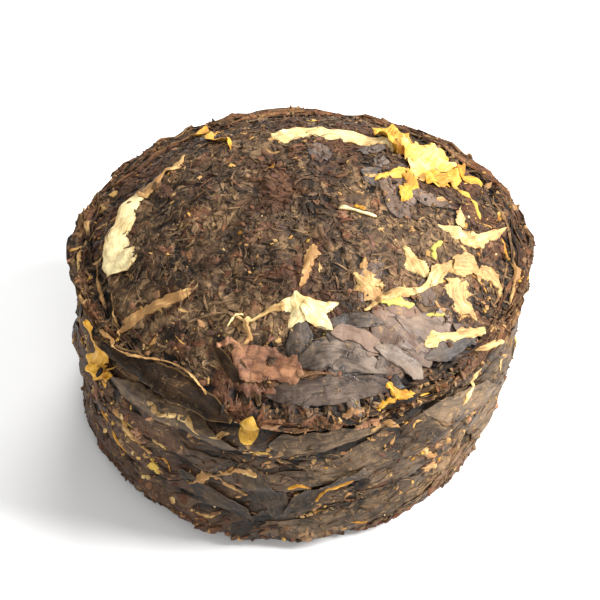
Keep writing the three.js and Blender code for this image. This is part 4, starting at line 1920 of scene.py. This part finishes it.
CREAM_RIBBONS = ribbons(
    (0.86, 0.1, {"tip": 0.25}, (162, 10.6, 0.5), (166, 11.2, 1.2), (174, 11.5, 1.35),
     (181, 11.9, 1.5), (187, 11.8, 2.2), (192, 11.6, 2.3), (195, 11.6, 1.3)),
    (-0.02, 0.4, {"stand": 0.06}, (139, 9.8, 0.3), (146, 9.5, 0.75), (152, 9.8, 0.6),
     (158, 10.2, 0.75), (163, 10.8, 0.7)),
    (0.7, 0.14, {"tip": 0.35}, (107, 6.4, 0.3), (101, 6.35, 1.0), (95, 6.7, 1.1), (88, 7.3, 0.95),
     (80, 7.4, 1.2), (69, 7.3, 1.1), (59, 7.4, 0.9), (51, 7.6, 0.6), (44, 7.8, 0.15)),
    (0.95, 0.1, {"thickness": 0.16, "crumple": 0.03}, (334, 2.4, 0.2), (339, 3.1, 0.22),
     (341, 3.9, 0.17), (343, 4.7, 0.24)),
    (0.84, 0.06, {"tip": 0.12}, (260, 8.2, 0.3), (265, 8.15, 1.1), (270, 8.2, 1.5), (275, 8.3, 1.2),
     (280, 8.25, 0.8), (286, 8.1, 0.12)),
    (0.8, 0.06, {"stand": 0.06}, (267, 7.15, 0.2), (268, 7.8, 1.0), (270, 8.4, 1.2),
     (267, 9.0, 0.8), (265, 9.45, 0.2)),
    (0.82, 0.06, {"stand": 0.09}, (270, 8.0, 0.6), (274, 8.5, 1.3), (278, 9.1, 0.9),
     (281, 9.7, 0.12)),
    (0.2, 0.35, {"stand": 0.1}, (263, 8.2, 0.45), (257, 8.5, 0.3), (250, 9.4, 0.2),
     (244, 9.3, 0.16)),
    (0.1, 0.45, {}, (250, 9.1, 0.2), (249, 9.6, 0.45), (252, 10.3, 0.4), (251, 10.8, 0.2)),
    (0.6, 0.4, {"stand": 0.1}, (243, 10.1, 0.12), (244, 9.3, 0.2), (247, 9.1, 0.14)),
    (-0.12, 0.3, {"tip": 0.25}, (222, 9.1, 0.35), (218, 10.6, 0.7), (214, 11.6, 0.5),
     (212, 12.9, 0.65), (211, 14.0, 0.4)),
    (0.05, 0.3, {"tip": 0.1}, (281, 4.0, 0.35), (278, 4.6, 0.8), (275, 5.3, 0.8), (272, 6.1, 0.5),
     (269, 6.9, 0.2)),
    (0.38, 0.35, {"tip": 0.15, "stand": 0.06}, (354, 8.3, 0.2), (353, 9.4, 0.85), (354, 10.3, 1.0),
     (358, 11.3, 0.9), (4, 12.5, 0.6), (9, 13.5, 0.12)),
    (0.4, 0.4, {"tip": 0.2, "stand": 0.1}, (12, 10.3, 0.1), (5, 9.9, 0.6), (358, 9.8, 0.5)),
    (0.2, 0.2, {}, (350, 10.0, 0.3), (348, 10.6, 0.22), (346, 11.1, 0.28)),
    (0.34, 0.3, {"tip": 0.15}, (332, 6.9, 0.15), (331, 7.6, 0.7), (328, 8.4, 1.3), (326, 9.1, 0.6)),
    (0.36, 0.4, {"stand": 0.02}, (337, 10.7, 1.2), (333, 11.1, 2.1), (331, 11.7, 1.6),
     (331, 12.4, 0.9), (330, 13.2, 0.15)),
    (0.34, 0.5, {"stand": 0.08, "tip": 0.2}, (307, 8.5, 0.2), (313, 8.8, 0.45), (320, 9.4, 0.3),
     (326, 9.6, 0.5), (331, 9.6, 1.0), (336, 9.8, 0.7), (340, 10.3, 1.0)),
    (0.26, 0.55, {"stand": 0.08, "tip": 0.2}, (338, 10.0, 0.9), (343, 11.0, 1.3), (345, 11.7, 1.0),
     (346, 12.4, 1.2), (345, 13.2, 0.6), (343, 13.7, 0.15)),
    (0.34, 0.45, {}, (309, 12.3, 0.2), (313, 12.3, 0.8), (317, 12.5, 0.4), (321, 13.0, 0.6),
     (326, 13.5, 1.0), (331, 13.8, 0.35)),
    (0.06, 0.45, {}, (310, 5.9, 0.25), (306, 6.5, 0.8), (303, 7.3, 1.3), (302, 8.1, 1.4),
     (304, 8.7, 0.4)),
    (0.08, 0.4, {}, (298, 6.5, 0.3), (302, 7.5, 0.6), (308, 8.0, 0.4)),
    (0.25, 0.3, {"stand": 0.06}, (295, 8.9, 0.2), (304, 8.7, 0.5), (313, 8.8, 0.5)),
)

WALL_CREAM_RIBBONS = ribbons(
    (-0.15, 0.8, {"thickness": 0.08, "stand": 0.14, "tuck": 0.02}, (205, 14.6, 0.12),
     (213, 14.4, 0.09), (219, 14.3, 0.12), (224, 13.9, 0.07)),
    (-0.1, 0.8, {"thickness": 0.08, "stand": 0.14, "tuck": 0.02}, (224, 13.95, 0.1),
     (229, 13.5, 0.14), (235, 13.3, 0.06), (240, 13.6, 0.12), (245, 14.1, 0.07)),
    (0.34, 0.35, {"tip": 0.1}, (321, 14.1, 0.2), (326, 14.5, 0.3), (330, 14.9, 0.5),
     (333, 15.5, 0.6), (337, 16.2, 0.15)),
    (0.3, 0.5, {}, (324, 15.6, 0.3), (319, 16.0, 0.8), (315, 17.1, 0.2)),
    (0.2, 0.5, {}, (307, 21.9, 0.2), (311, 22.3, 0.85), (314, 22.8, 0.2)),
    (0.25, 0.7, {}, (228, 16.3, 0.2), (232, 16.5, 0.45), (236, 16.3, 0.2), (240, 16.3, 0.35),
     (245, 16.6, 0.14), (252, 16.2, 0.25)),
    (0.05, 0.7, {}, (241, 21.6, 0.2), (245, 21.2, 0.5), (251, 20.3, 0.3)),
    (0.0, 0.6, {}, (248, 20.2, 0.2), (253, 21.1, 0.3), (258, 21.7, 0.14)),
    (0.15, 0.7, {}, (251, 19.8, 0.2), (255, 19.3, 0.45), (260, 19.4, 0.2)),
    (-0.1, 0.7, {}, (288, 16.2, 0.15), (292, 16.1, 0.35), (297, 16.8, 0.15)),
    (0.0, 0.9, {}, (300, 20.0, 0.2), (304, 19.4, 0.5), (309, 20.6, 0.15)),
    (-0.2, 0.6, {}, (215, 19.3, 0.2), (221, 20.0, 0.35), (229, 21.0, 0.2)),
    (0.2, 0.2, {}, (165, 14.3, 0.14), (176, 14.4, 0.24), (184, 14.7, 0.14)),
    (-0.1, 0.6, {}, (183, 13.6, 0.1), (192, 13.8, 0.2), (201, 14.0, 0.14)),
    (0.0, 0.6, {}, (190, 14.8, 0.12), (198, 14.9, 0.25), (204, 15.2, 0.14)),
    (-0.1, 0.6, {}, (196, 13.1, 0.1), (205, 13.6, 0.2), (212, 14.1, 0.1)),
    (-0.1, 0.6, {}, (362, 14.0, 0.1), (352, 14.2, 0.2), (343, 14.4, 0.1)), wrapped=True,
)

YELLOW_RIBBONS = ribbons(
    (0.35, 0.12, {"tip": 0.4, "crumple": 0.24, "crumple_scale": 1.4, "wrinkle": 0.05},
     (42, 7.7, 0.9), (48, 8.7, 2.8), (52, 10.2, 3.4), (54, 11.9, 1.5)),
    (0.78, 0.12, {"tip": 0.45, "crumple": 0.3, "crumple_scale": 1.5, "wrinkle": 0.05},
     (29, 7.6, 1.2), (31, 8.7, 3.5), (35, 10.2, 4.4), (38, 11.5, 3.4), (40, 12.7, 1.3)),
    (0.5, 0.2, {"tip": 0.2, "crumple": 0.2, "crumple_scale": 1.2, "stand": 0.1}, (24, 8.2, 0.4),
     (25, 9.5, 1.3), (27, 10.8, 0.9), (31, 11.9, 0.3)),
    (0.25, 0.3, {"tip": 0.2}, (30, 10.9, 0.3), (29, 11.7, 0.6), (28, 12.5, 0.6), (28, 13.5, 0.3)),
    (0.5, 0.3, {"tip": 0.2}, (20, 4.6, 0.12), (24, 5.7, 0.45), (27, 7.5, 0.7)),
    (0.22, 0.35, {"tip": 0.2}, (26, 7.6, 0.8), (18, 6.9, 1.1), (10, 6.3, 0.9), (4, 6.0, 0.3)),
    (0.2, 0.4, {"hue": 0.6}, (26, 10.0, 0.3), (22, 10.9, 0.6), (19, 11.6, 0.5), (9, 11.7, 0.2)),
    (0.1, 0.2, {}, (349, 3.2, 0.25), (345, 3.9, 0.3)),
    (0.2, 0.4, {"tip": 0.3}, (117, 13.9, 0.2), (124, 12.6, 0.6), (121, 11.2, 0.4), (127, 9.6, 0.55),
     (125, 7.8, 0.35), (130, 6.8, 0.12)),
    (0.2, 0.4, {}, (6, 13.3, 0.2), (1, 13.3, 0.4), (359, 13.9, 0.2)),
)

WALL_YELLOW_RIBBONS = ribbons(
    (0.35, 0.6, {"stand": 0.45, "tuck": 0.0}, (201, 14.8, 0.6), (204, 15.5, 0.9), (207, 16.2, 1.1),
     (208, 16.9, 1.7), (210, 17.5, 0.8), (211, 18.3, 0.2)),
    (0.35, 0.3, {"stand": 0.45}, (208, 16.7, 0.9), (215, 16.5, 0.2)),
    (-0.1, 0.5, {}, (208, 20.9, 0.2), (215, 21.5, 0.45), (220, 22.3, 0.3), (225, 22.8, 0.2)),
    (0.35, 0.5, {}, (348, 17.5, 0.2), (349, 18.3, 0.6), (350, 19.8, 0.2)),
    (0.3, 0.6, {}, (294, 13.3, 0.3), (296, 14.2, 0.5), (300, 14.5, 0.35), (304, 14.7, 0.15)),
    (0.3, 0.6, {}, (289, 14.6, 0.16), (292, 14.4, 0.35), (296, 14.2, 0.2)),
    (0.1, 0.2, {}, (268, 20.1, 0.16), (271, 19.8, 0.18), (274, 20.2, 0.16)),
    (0.1, 0.5, {}, (276, 21.9, 0.16), (279, 21.0, 0.26), (286, 20.6, 0.2)),
    (0.1, 0.5, {"hue": 0.8}, (229, 21.7, 0.6), (232, 22.3, 0.85)),
    (0.1, 0.06, {"fold": 0.2, "stand": 0.1, "tuck": 0.02, "hue": 0.4}, (256, 14.7, 0.8),
     (257, 15.1, 1.2), (257, 15.9, 1.2), (258, 16.4, 0.7)),
    (0.1, 0.5, {}, (96, 17.0, 0.4), (101, 18.2, 0.7)),
    (0.1, 0.5, {}, (150, 19.5, 0.3), (154, 20.2, 0.5)), wrapped=True,
)

RUST_RIBBONS = ribbons(
    (0.72, 0.16,
     {"crumple": 0.05, "crumple_scale": 2.0, "stand": -0.02, "tuck": 0.04, "stiff": True},
     (249, 12.0, 0.9), (251, 11.8, 2.2), (258, 11.7, 2.3), (263, 11.8, 1.6), (267, 11.9, 2.0),
     (270, 12.0, 0.9)),
    (0.66, 0.15, {"hue": 0.3}, (268, 12.1, 0.5), (273, 12.1, 0.3), (279, 12.2, 0.1)),
    (0.5, 0.4, {"stand": 0.0}, (333, 2.4, 0.5), (326, 3.2, 0.6)),
    (0.6, 0.4, {"stand": 0.0}, (196, 9.2, 0.3), (200, 8.4, 0.5)),
    (0.75, 0.45, {}, (242, 11.3, 0.3), (246, 10.9, 0.6), (251, 11.0, 0.3)),
    (0.6, 0.45, {"stand": 0.0}, (250, 13.4, 0.4), (257, 13.3, 0.8), (263, 13.2, 0.4)),
)

WALL_RUST_RIBBONS = ribbons(
    (0.85, 0.5, {}, (284, 15.9, 0.3), (288, 15.7, 0.55), (293, 15.6, 0.3)),
    (0.6, 0.4, {}, (200, 17.6, 0.2), (204, 19.0, 0.35), (208, 20.2, 0.2)),
    (0.5, 0.5, {"hue": 0.3, "stand": 0.05}, (260, 15.0, 0.2), (263, 14.9, 0.45), (266, 14.6, 0.2)),
    (0.5, 0.5, {"hue": 0.5, "stand": 0.05}, (280, 14.6, 0.15), (283, 14.4, 0.4), (286, 14.5, 0.15)),
    wrapped=True,
)

GREEN_RIBBONS = ribbons(
    (0.5, 0.45, {"stand": 0.12}, (302, 8.8, 0.2), (306, 9.0, 0.6), (310, 9.4, 0.6),
     (315, 9.9, 0.2)),
    (0.3, 0.4, {}, (336, 8.9, 0.3), (341, 8.6, 0.4), (348, 8.8, 0.2)),
    (0.3, 0.4, {}, (316, 10.7, 0.2), (319, 11.1, 0.3), (322, 11.5, 0.2)),
)

SMOOTH_RIBBONS = tuple(
    Ribbon(tuple(stations), tone, hue, stand=stand, thickness=0.05, crumple=0.04,
           crumple_scale=2.0, wrinkle=0.01, tuck=0.04, jag=0.11, stiff=True)
    for tone, hue, stand, *stations in (
        (0.36, 0.1, -0.04, (260, 13.5, 0.3), (265, 13.3, 1.2), (274, 13.1, 1.8), (284, 13.1, 1.5),
         (292, 13.4, 0.9), (295, 13.6, 0.2)),
        (0.45, 0.3, -0.03, (296, 9.7, 0.2), (298, 10.2, 1.5), (303, 11.2, 2.2), (306, 12.3, 1.6),
         (308, 13.5, 0.7)),
        (0.55, 0.2, -0.01, (305, 10.0, 0.3), (309, 10.7, 1.6), (314, 11.6, 1.9), (318, 12.6, 0.6)),
        (0.3, 0.6, -0.03, (302, 8.7, 0.2), (306, 9.1, 1.2), (311, 9.8, 1.4), (315, 10.6, 0.3)),
        (0.35, 0.0, -0.01, (279, 9.2, 0.2), (286, 9.3, 1.1), (294, 9.5, 1.0), (301, 10.1, 0.3)),
        (0.66, 0.0, 0.0, (268, 11.6, 0.3), (273, 11.2, 1.6), (279, 11.0, 1.9), (284, 11.3, 2.2),
         (289, 11.9, 1.4), (295, 12.9, 0.2)),
        (1.0, 0.4, 0.03, (280, 9.8, 0.2), (284, 9.9, 1.1), (289, 10.2, 0.9), (293, 11.0, 1.2),
         (295, 11.6, 0.3)),
        (0.9, 0.0, 0.05, (293, 11.2, 0.2), (297, 11.7, 1.1), (301, 12.7, 0.9), (303, 13.4, 1.2),
         (304, 13.9, 0.2)),
        (0.25, 0.0, -0.02, (307, 12.9, 0.3), (313, 13.1, 1.1), (320, 13.4, 0.9), (325, 13.7, 0.2)),
    )
)

OPEN_RIBBONS = ribbons(
    (0.6, 0.15, {"tip": 0.2}, (241, 11.2, 0.35), (246, 12.0, 0.7), (252, 13.0, 0.8),
     (256, 14.2, 0.5)),
    (0.85, 0.2, {"stand": 0.1}, (246, 11.2, 0.25), (251, 11.9, 0.5), (256, 13.0, 0.6),
     (259, 14.1, 0.4)),
    (0.3, 0.12, {"tip": -0.45, "thickness": 0.12, "tuck": 0.0, "wrapped": True}, (209, 14.9, 0.4),
     (215, 14.9, 1.1), (221, 14.8, 1.4), (227, 14.55, 1.6), (234, 14.3, 1.6), (240, 14.35, 1.4),
     (247, 14.6, 1.0), (253, 14.9, 0.4)),
)

PEELED_RIBBONS = ribbons(
    (0.45, 0.12, {"tip": 0.2, "thickness": 0.12, "crumple": 0.06}, (211, 17.1, 0.5),
     (216, 17.1, 1.3), (222, 17.0, 1.7), (229, 16.85, 1.8), (236, 16.75, 1.8), (243, 16.8, 1.7),
     (249, 16.9, 1.3), (255, 17.0, 0.5)),
    (0.25, 0.12, {"tip": 0.15}, (238, 21.0, 0.5), (247, 22.0, 1.5),
     (255, 23.1, 1.6), (260, 24.4, 0.6)),
    (0.35, 0.12, {"tip": -0.15}, (255, 18.7, 0.5), (260, 20.1, 1.5),
     (265, 21.7, 1.6), (268, 23.4, 0.6)),
    (0.2, 0.12, {"tip": 0.15}, (287, 18.6, 0.5), (281, 19.9, 1.6),
     (275, 21.3, 1.6), (268, 22.9, 0.5)),
    (0.42, 0.12, {"tip": 0.25}, (262, 16.6, 0.5), (268, 16.6, 1.3),
     (276, 16.5, 1.5), (284, 16.3, 1.2), (291, 16.2, 0.4)),
    (0.7, 0.14, {"tip": 0.25}, (303, 16.0, 0.5), (309, 16.5, 1.6),
     (316, 17.0, 2.0), (323, 17.6, 1.7), (330, 18.2, 0.6)),
    crumple=0.05, stand=0.0, tuck=0.0, wrapped=True,
)


@dataclass
class Nest:
    """The whole nest: its layers in the order that they are laid, and what is strewn last."""

    chart: Chart = field(default_factory=lambda: Chart(Skin()))

    def leaf_layers(self) -> list[PressedBody | LeafLayer]:
        """The body and the layers that raise the chart, from the inside out.

        Returns:
            The layers in order.
        """
        dark, small = ("matted", "pressed_leaf"), DiscGrid(3, 20)
        return [
            PressedBody(),
            WallWraps("wall_wraps", "wrap", "pressed_leaf", DiscGrid(5, 46), 130, 31),
            DomeFlakes("dome_flakes", *dark, DiscGrid(2, 10), 3000, 23, stiffness=1),
            DomeLeaves("dome_leaves", "smooth", "glossy_leaf", DiscGrid(6, 36), 230, 21),
            WallFlakes("wall_flakes", *dark, DiscGrid(2, 12), 1100, 33, stiffness=1),
            LipStrands("lip_strands", "torn", "rust_leaf", DiscGrid(3, 26), 330, 41, stiffness=1),
            StrewnScraps("straw_flecks", "straw", "straw_scrap", small, 620, 51, longest=0.7,
                         widest=0.2, tones=(-0.35, 0.35)),
            StrewnScraps("golden_flecks", "yellow", "yellow_bloom", small, 130, 61, longest=0.7,
                         widest=0.18, start=2.2, tones=(-0.3, 0.3), hues=(0.0, 0.7)),
            StrewnScraps("rust_flecks", "rust", "rust_leaf", small, 140, 71, widest=0.5,
                         start=4.1, tones=(0.1, 0.7), hues=(0.0, 0.0, 0.5)),
        ]

    def ribbon_layers(self) -> list[RibbonLayer]:
        """The scraps that lie on top, one piece for each colour.

        Returns:
            The layers in order.
        """
        return [
            RibbonLayer(name, finish, slot, RibbonGrid(), ribbons=ribbons)
            for name, finish, slot, ribbons in (
                ("smooth_scraps", "smooth", "glossy_leaf", SMOOTH_RIBBONS),
                ("peeled_wraps", "wrap", "pressed_leaf", PEELED_RIBBONS),
                ("open_leaf", "open", "pressed_leaf", OPEN_RIBBONS),
                ("rust_scraps", "rust", "rust_leaf", RUST_RIBBONS + WALL_RUST_RIBBONS),
                ("green_scraps", "green", "straw_scrap", GREEN_RIBBONS),
                ("cream_scraps", "straw", "straw_scrap", CREAM_RIBBONS + WALL_CREAM_RIBBONS),
                ("yellow_petals", "yellow", "yellow_bloom", YELLOW_RIBBONS + WALL_YELLOW_RIBBONS),
            )
        ]

    def litter(self) -> list[Litter]:
        """Threads and crumbs over everything.

        Returns:
            The litter in order.
        """
        edge, end, length = self.chart.skin.dome_arc, self.chart.skin.wall_end, self.chart.length
        rust, straw = ("rust", "rust_leaf"), ("straw", "straw_scrap")
        return [
            Threads("dome_threads", 800, 0.2, edge, 81, half_width=(0.02, 0.045)),
            Threads("wall_threads", 800, edge, end + 1.0, 82, half_length=(0.25, 1.1)),
            Crumbs("dome_crumbs", 2200, 0.2, edge, 91, tone=(0.42, 0.3), size=(0.05, 0.24)),
            Crumbs("wall_crumbs", 2200, edge, length, 92),
            Crumbs("foot_crumbs", 900, end - 0.8, end + 1.2, 93, size=(0.1, 0.4), tip=0.2),
            Crumbs("lip_crumbs", 1100, edge - 0.6, edge + 0.6, 96, "torn", "rust_leaf",
                   (0.6, 0.35), tip=0.6),
            Crumbs("straw_crumbs", 2600, 1.0, end + 1.0, 94, *straw, (-0.12, 0.3),
                   size=(0.05, 0.27), patchy=True, sides=5),
            Crumbs("golden_crumbs", 600, 1.0, end + 1.0, 95, "yellow", "yellow_bloom",
                   (-0.15, 0.2), size=(0.04, 0.17), patchy=True),
            Crumbs("rust_crumbs", 1500, 1.0, end + 1.0, 97, *rust, (0.4, 0.3),
                   size=(0.06, 0.36), patchy=True, sides=5),
        ]

    def build(self) -> list[tuple[Piece, str, str]]:
        """Lays every layer, then makes every piece.

        Returns:
            Each piece with its finish and its slot.
        """
        leaves, ribbons = self.leaf_layers(), self.ribbon_layers()
        for layer in leaves:
            layer.lay(self.chart)
            LOG.info("laid %s", layer.name)
        self.chart.settle()
        for layer in ribbons:
            layer.lay(self.chart)
        groups = [*leaves, *ribbons, *self.litter()]
        return [(group.build(self.chart), group.finish, group.slot) for group in groups]


# Floor, light and camera


def aimed(name: str, data: bpy.types.ID, target: Vector, way: Vector, distance: float) -> Piece:
    """Puts a lamp or a camera at a distance from a target, looking at it.

    Args:
        name, data: The object's name and data.
        target: What it looks at.
        way, distance: Where it stands from there.

    Returns:
        The object.
    """
    thing = bpy.data.objects.new(name, data)
    bpy.context.scene.collection.objects.link(thing)
    thing.location = target + way * distance
    thing.rotation_euler = way.to_track_quat("Z", "Y").to_euler()
    return thing


@dataclass(frozen=True)
class SoftBox:
    """One soft light: where it stands from the nest, its size and its power."""

    name: str
    direction: tuple[float, float, float]
    distance: float
    size: float
    power: float

    def build(self, target: Vector) -> None:
        """Makes the light, aimed at the nest.

        Args:
            target: The nest's middle.
        """
        light = bpy.data.lights.new(self.name, "AREA")
        light.shape = "DISK"
        light.size = self.size
        light.energy = self.power
        aimed(self.name, light, target, Vector(self.direction).normalized(), self.distance)


@dataclass(frozen=True)
class Studio:
    """A plain pale floor, soft light, and a camera that looks down at the nest."""

    elevation: float = 43.9
    lens: float = 300.0
    sensor: float = 36.0
    fill: float = 0.755
    floor_size: float = 4.0
    sky: float = 0.54

    def build(self) -> None:
        """Makes the floor, the lights and the camera."""
        low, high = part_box(NODE)
        target = (low + high) / 2
        self._floor()
        self._sky()
        for light in (
            SoftBox("right_soft_box", (0.75, -0.1, 0.62), 0.45, 0.2, 4.4),
            SoftBox("back_soft_box", (0.25, 0.8, 0.75), 0.6, 0.35, 2.6),
            SoftBox("front_soft_box", (0.05, -0.85, 0.55), 0.6, 0.35, 1.4),
        ):
            light.build(target)
        data = bpy.data.cameras.new("camera")
        data.lens = self.lens
        data.sensor_width = self.sensor
        rise = math.radians(self.elevation)
        back = Vector((0.0, -math.cos(rise), math.sin(rise)))
        wide = (high.x - low.x) / self.fill
        distance = wide * self.lens / self.sensor
        bpy.context.scene.camera = aimed("camera", data, target, back, distance)

    def _floor(self) -> None:
        """A wide plain floor that the nest stands on."""
        half = self.floor_size / 2
        corners = [(-half, -half, 0.0), (half, -half, 0.0), (half, half, 0.0), (-half, half, 0.0)]
        mesh = bpy.data.meshes.new("floor")
        mesh.from_pydata(corners, [], [(0, 1, 2, 3)])
        floor = bpy.data.objects.new("floor", mesh)
        bpy.context.scene.collection.objects.link(floor)
        material = bpy.data.materials.new("pale floor")
        material.use_nodes = True
        shader = material.node_tree.nodes["Principled BSDF"]
        shader.inputs["Base Color"].default_value = (0.88, 0.88, 0.875, 1.0)
        shader.inputs["Roughness"].default_value = 0.6
        shader.inputs["Specular IOR Level"].default_value = 0.2
        mesh.materials.append(material)

    def _sky(self) -> None:
        """An even white light from all round."""
        world = bpy.data.worlds.new("studio light")
        world.use_nodes = True
        background = world.node_tree.nodes["Background"]
        background.inputs["Color"].default_value = (1.0, 1.0, 1.0, 1.0)
        background.inputs["Strength"].default_value = self.sky
        bpy.context.scene.world = world


# Putting it together


def finishes() -> dict[str, LeafFinish]:
    """The finishes by name, with colours as linear red, green and blue.

    Returns:
        Each finish by the name that the layers give.
    """
    return {
        "matted": LeafFinish(
            "matted dark leaf", (0.012, 0.007, 0.0038), (0.079, 0.045, 0.023),
            (0.23, 0.138, 0.068), other=(0.15, 0.055, 0.024), rim=(0.125, 0.071, 0.033),
            rim_share=0.35, fleck_share=1.0, specular=0.2, blush=0.5, contrast=1.05, patches=2.5,
            crevice_shade=0.92,
        ),
        # The smooth leaves' near-black rim is painted shade: dark lines that stand in for the
        # shadow in the gaps between the pieces.
        "smooth": LeafFinish(
            "smooth dark leaf", (0.022, 0.015, 0.011), (0.09, 0.064, 0.047),
            (0.21, 0.155, 0.116), other=(0.19, 0.095, 0.054), rim=(0.016, 0.01, 0.007),
            fleck_share=0.6, rim_share=0.6, rough_low=0.34, rough_high=0.66, specular=0.32,
            crease=0.15, fibre=0.3, contrast=1.7, patches=1.6, crack_shade=0.7,
        ),
        "wrap": LeafFinish(
            "wrapped wall leaf", (0.014, 0.009, 0.0055), (0.074, 0.047, 0.027),
            (0.19, 0.125, 0.072), other=(0.15, 0.06, 0.026), rim=(0.11, 0.064, 0.033),
            fleck_share=0.9, rim_share=0.4, rough_low=0.42, rough_high=0.72, specular=0.25,
            fibre=0.55, crease=0.3, crack_shade=0.5,
        ),
        "torn": LeafFinish(
            "torn leaf edge", (0.01, 0.006, 0.0035), (0.046, 0.024, 0.012), (0.33, 0.185, 0.075),
            other=(0.15, 0.055, 0.02), rim=(0.15, 0.077, 0.031), specular=0.2, contrast=1.2,
        ),
        # The open leaf's dark colours are partly painted shade, for a face turned down and to the
        # left, and partly its own dark inner layer; its pale rim is its own torn edge.
        "open": LeafFinish(
            "open leaf", (0.007, 0.0038, 0.002), (0.026, 0.0135, 0.006), (0.12, 0.066, 0.027),
            other=(0.1, 0.04, 0.015), rim=(0.3, 0.17, 0.06), fleck_share=0.3, rough_low=0.55,
            rough_high=0.85, specular=0.12, crease=0.3,
        ),
        "thread": LeafFinish(
            "stalk threads", (0.018, 0.011, 0.006), (0.09, 0.05, 0.025), (0.28, 0.17, 0.08),
            other=(0.2, 0.08, 0.032), rim=TAN, fleck_share=0.2, specular=0.2, bump=0.00002,
        ),
        "straw": LeafFinish(
            "straw scraps", (0.3, 0.15, 0.045), (0.6, 0.41, 0.16), (0.82, 0.69, 0.37),
            other=(0.56, 0.3, 0.05), rim=(0.4, 0.22, 0.07), fleck=(0.36, 0.2, 0.06),
            rim_share=0.7, fleck_low=0.5, fleck_share=0.6, rough_high=0.75, crease=0.12,
            contrast=1.4, patches=0.9, crack_shade=0.1, crevice_shade=0.6,
        ),
        "yellow": LeafFinish(
            "yellow petals", (0.36, 0.15, 0.006), (0.7, 0.37, 0.035), (0.89, 0.58, 0.21),
            other=(0.5, 0.34, 0.05), rim=(0.5, 0.26, 0.03), fleck=(0.45, 0.22, 0.03),
            rim_share=0.45, fleck_share=0.5, rough_high=0.7, crease=0.15, contrast=1.2,
            patches=0.5, crack_shade=0.15, crevice_shade=0.6,
        ),
        "rust": LeafFinish(
            "rust leaves", (0.035, 0.014, 0.007), (0.165, 0.066, 0.031), (0.4, 0.19, 0.09),
            other=(0.28, 0.15, 0.045), rim=(0.12, 0.055, 0.025), fleck=(0.32, 0.17, 0.08),
            fleck_share=0.3, rough_low=0.45, rough_high=0.7, fibre=0.2, contrast=1.6, patches=0.8,
        ),
        "green": LeafFinish(
            "green scraps", (0.24, 0.19, 0.03), (0.46, 0.41, 0.08), (0.68, 0.6, 0.22),
            other=(0.5, 0.4, 0.08), rim=(0.4, 0.3, 0.08), fleck=(0.4, 0.28, 0.08),
            rim_share=0.4, fleck_share=0.3, rough_high=0.7, crease=0.15, contrast=0.7,
            patches=0.3, crevice_shade=0.6,
        ),
    }


def main() -> None:
    """Builds the nest from its body outwards, then the studio, and reports each piece."""
    logging.basicConfig(level=logging.INFO, format="%(message)s")
    bpy.context.scene.view_settings.view_transform = "Standard"
    grain = leaf_grain_group()
    materials = {name: finish.material(grain) for name, finish in finishes().items()}
    for piece, finish, slot in Nest().build():
        piece.data.materials.append(materials[finish])
        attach(piece, BODY)
        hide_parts(NODE)
        LOG.info("%s: %d faces, %s", piece.name, len(piece.data.polygons), finish)
    Studio().build()


if __name__ == "__main__":
    main()
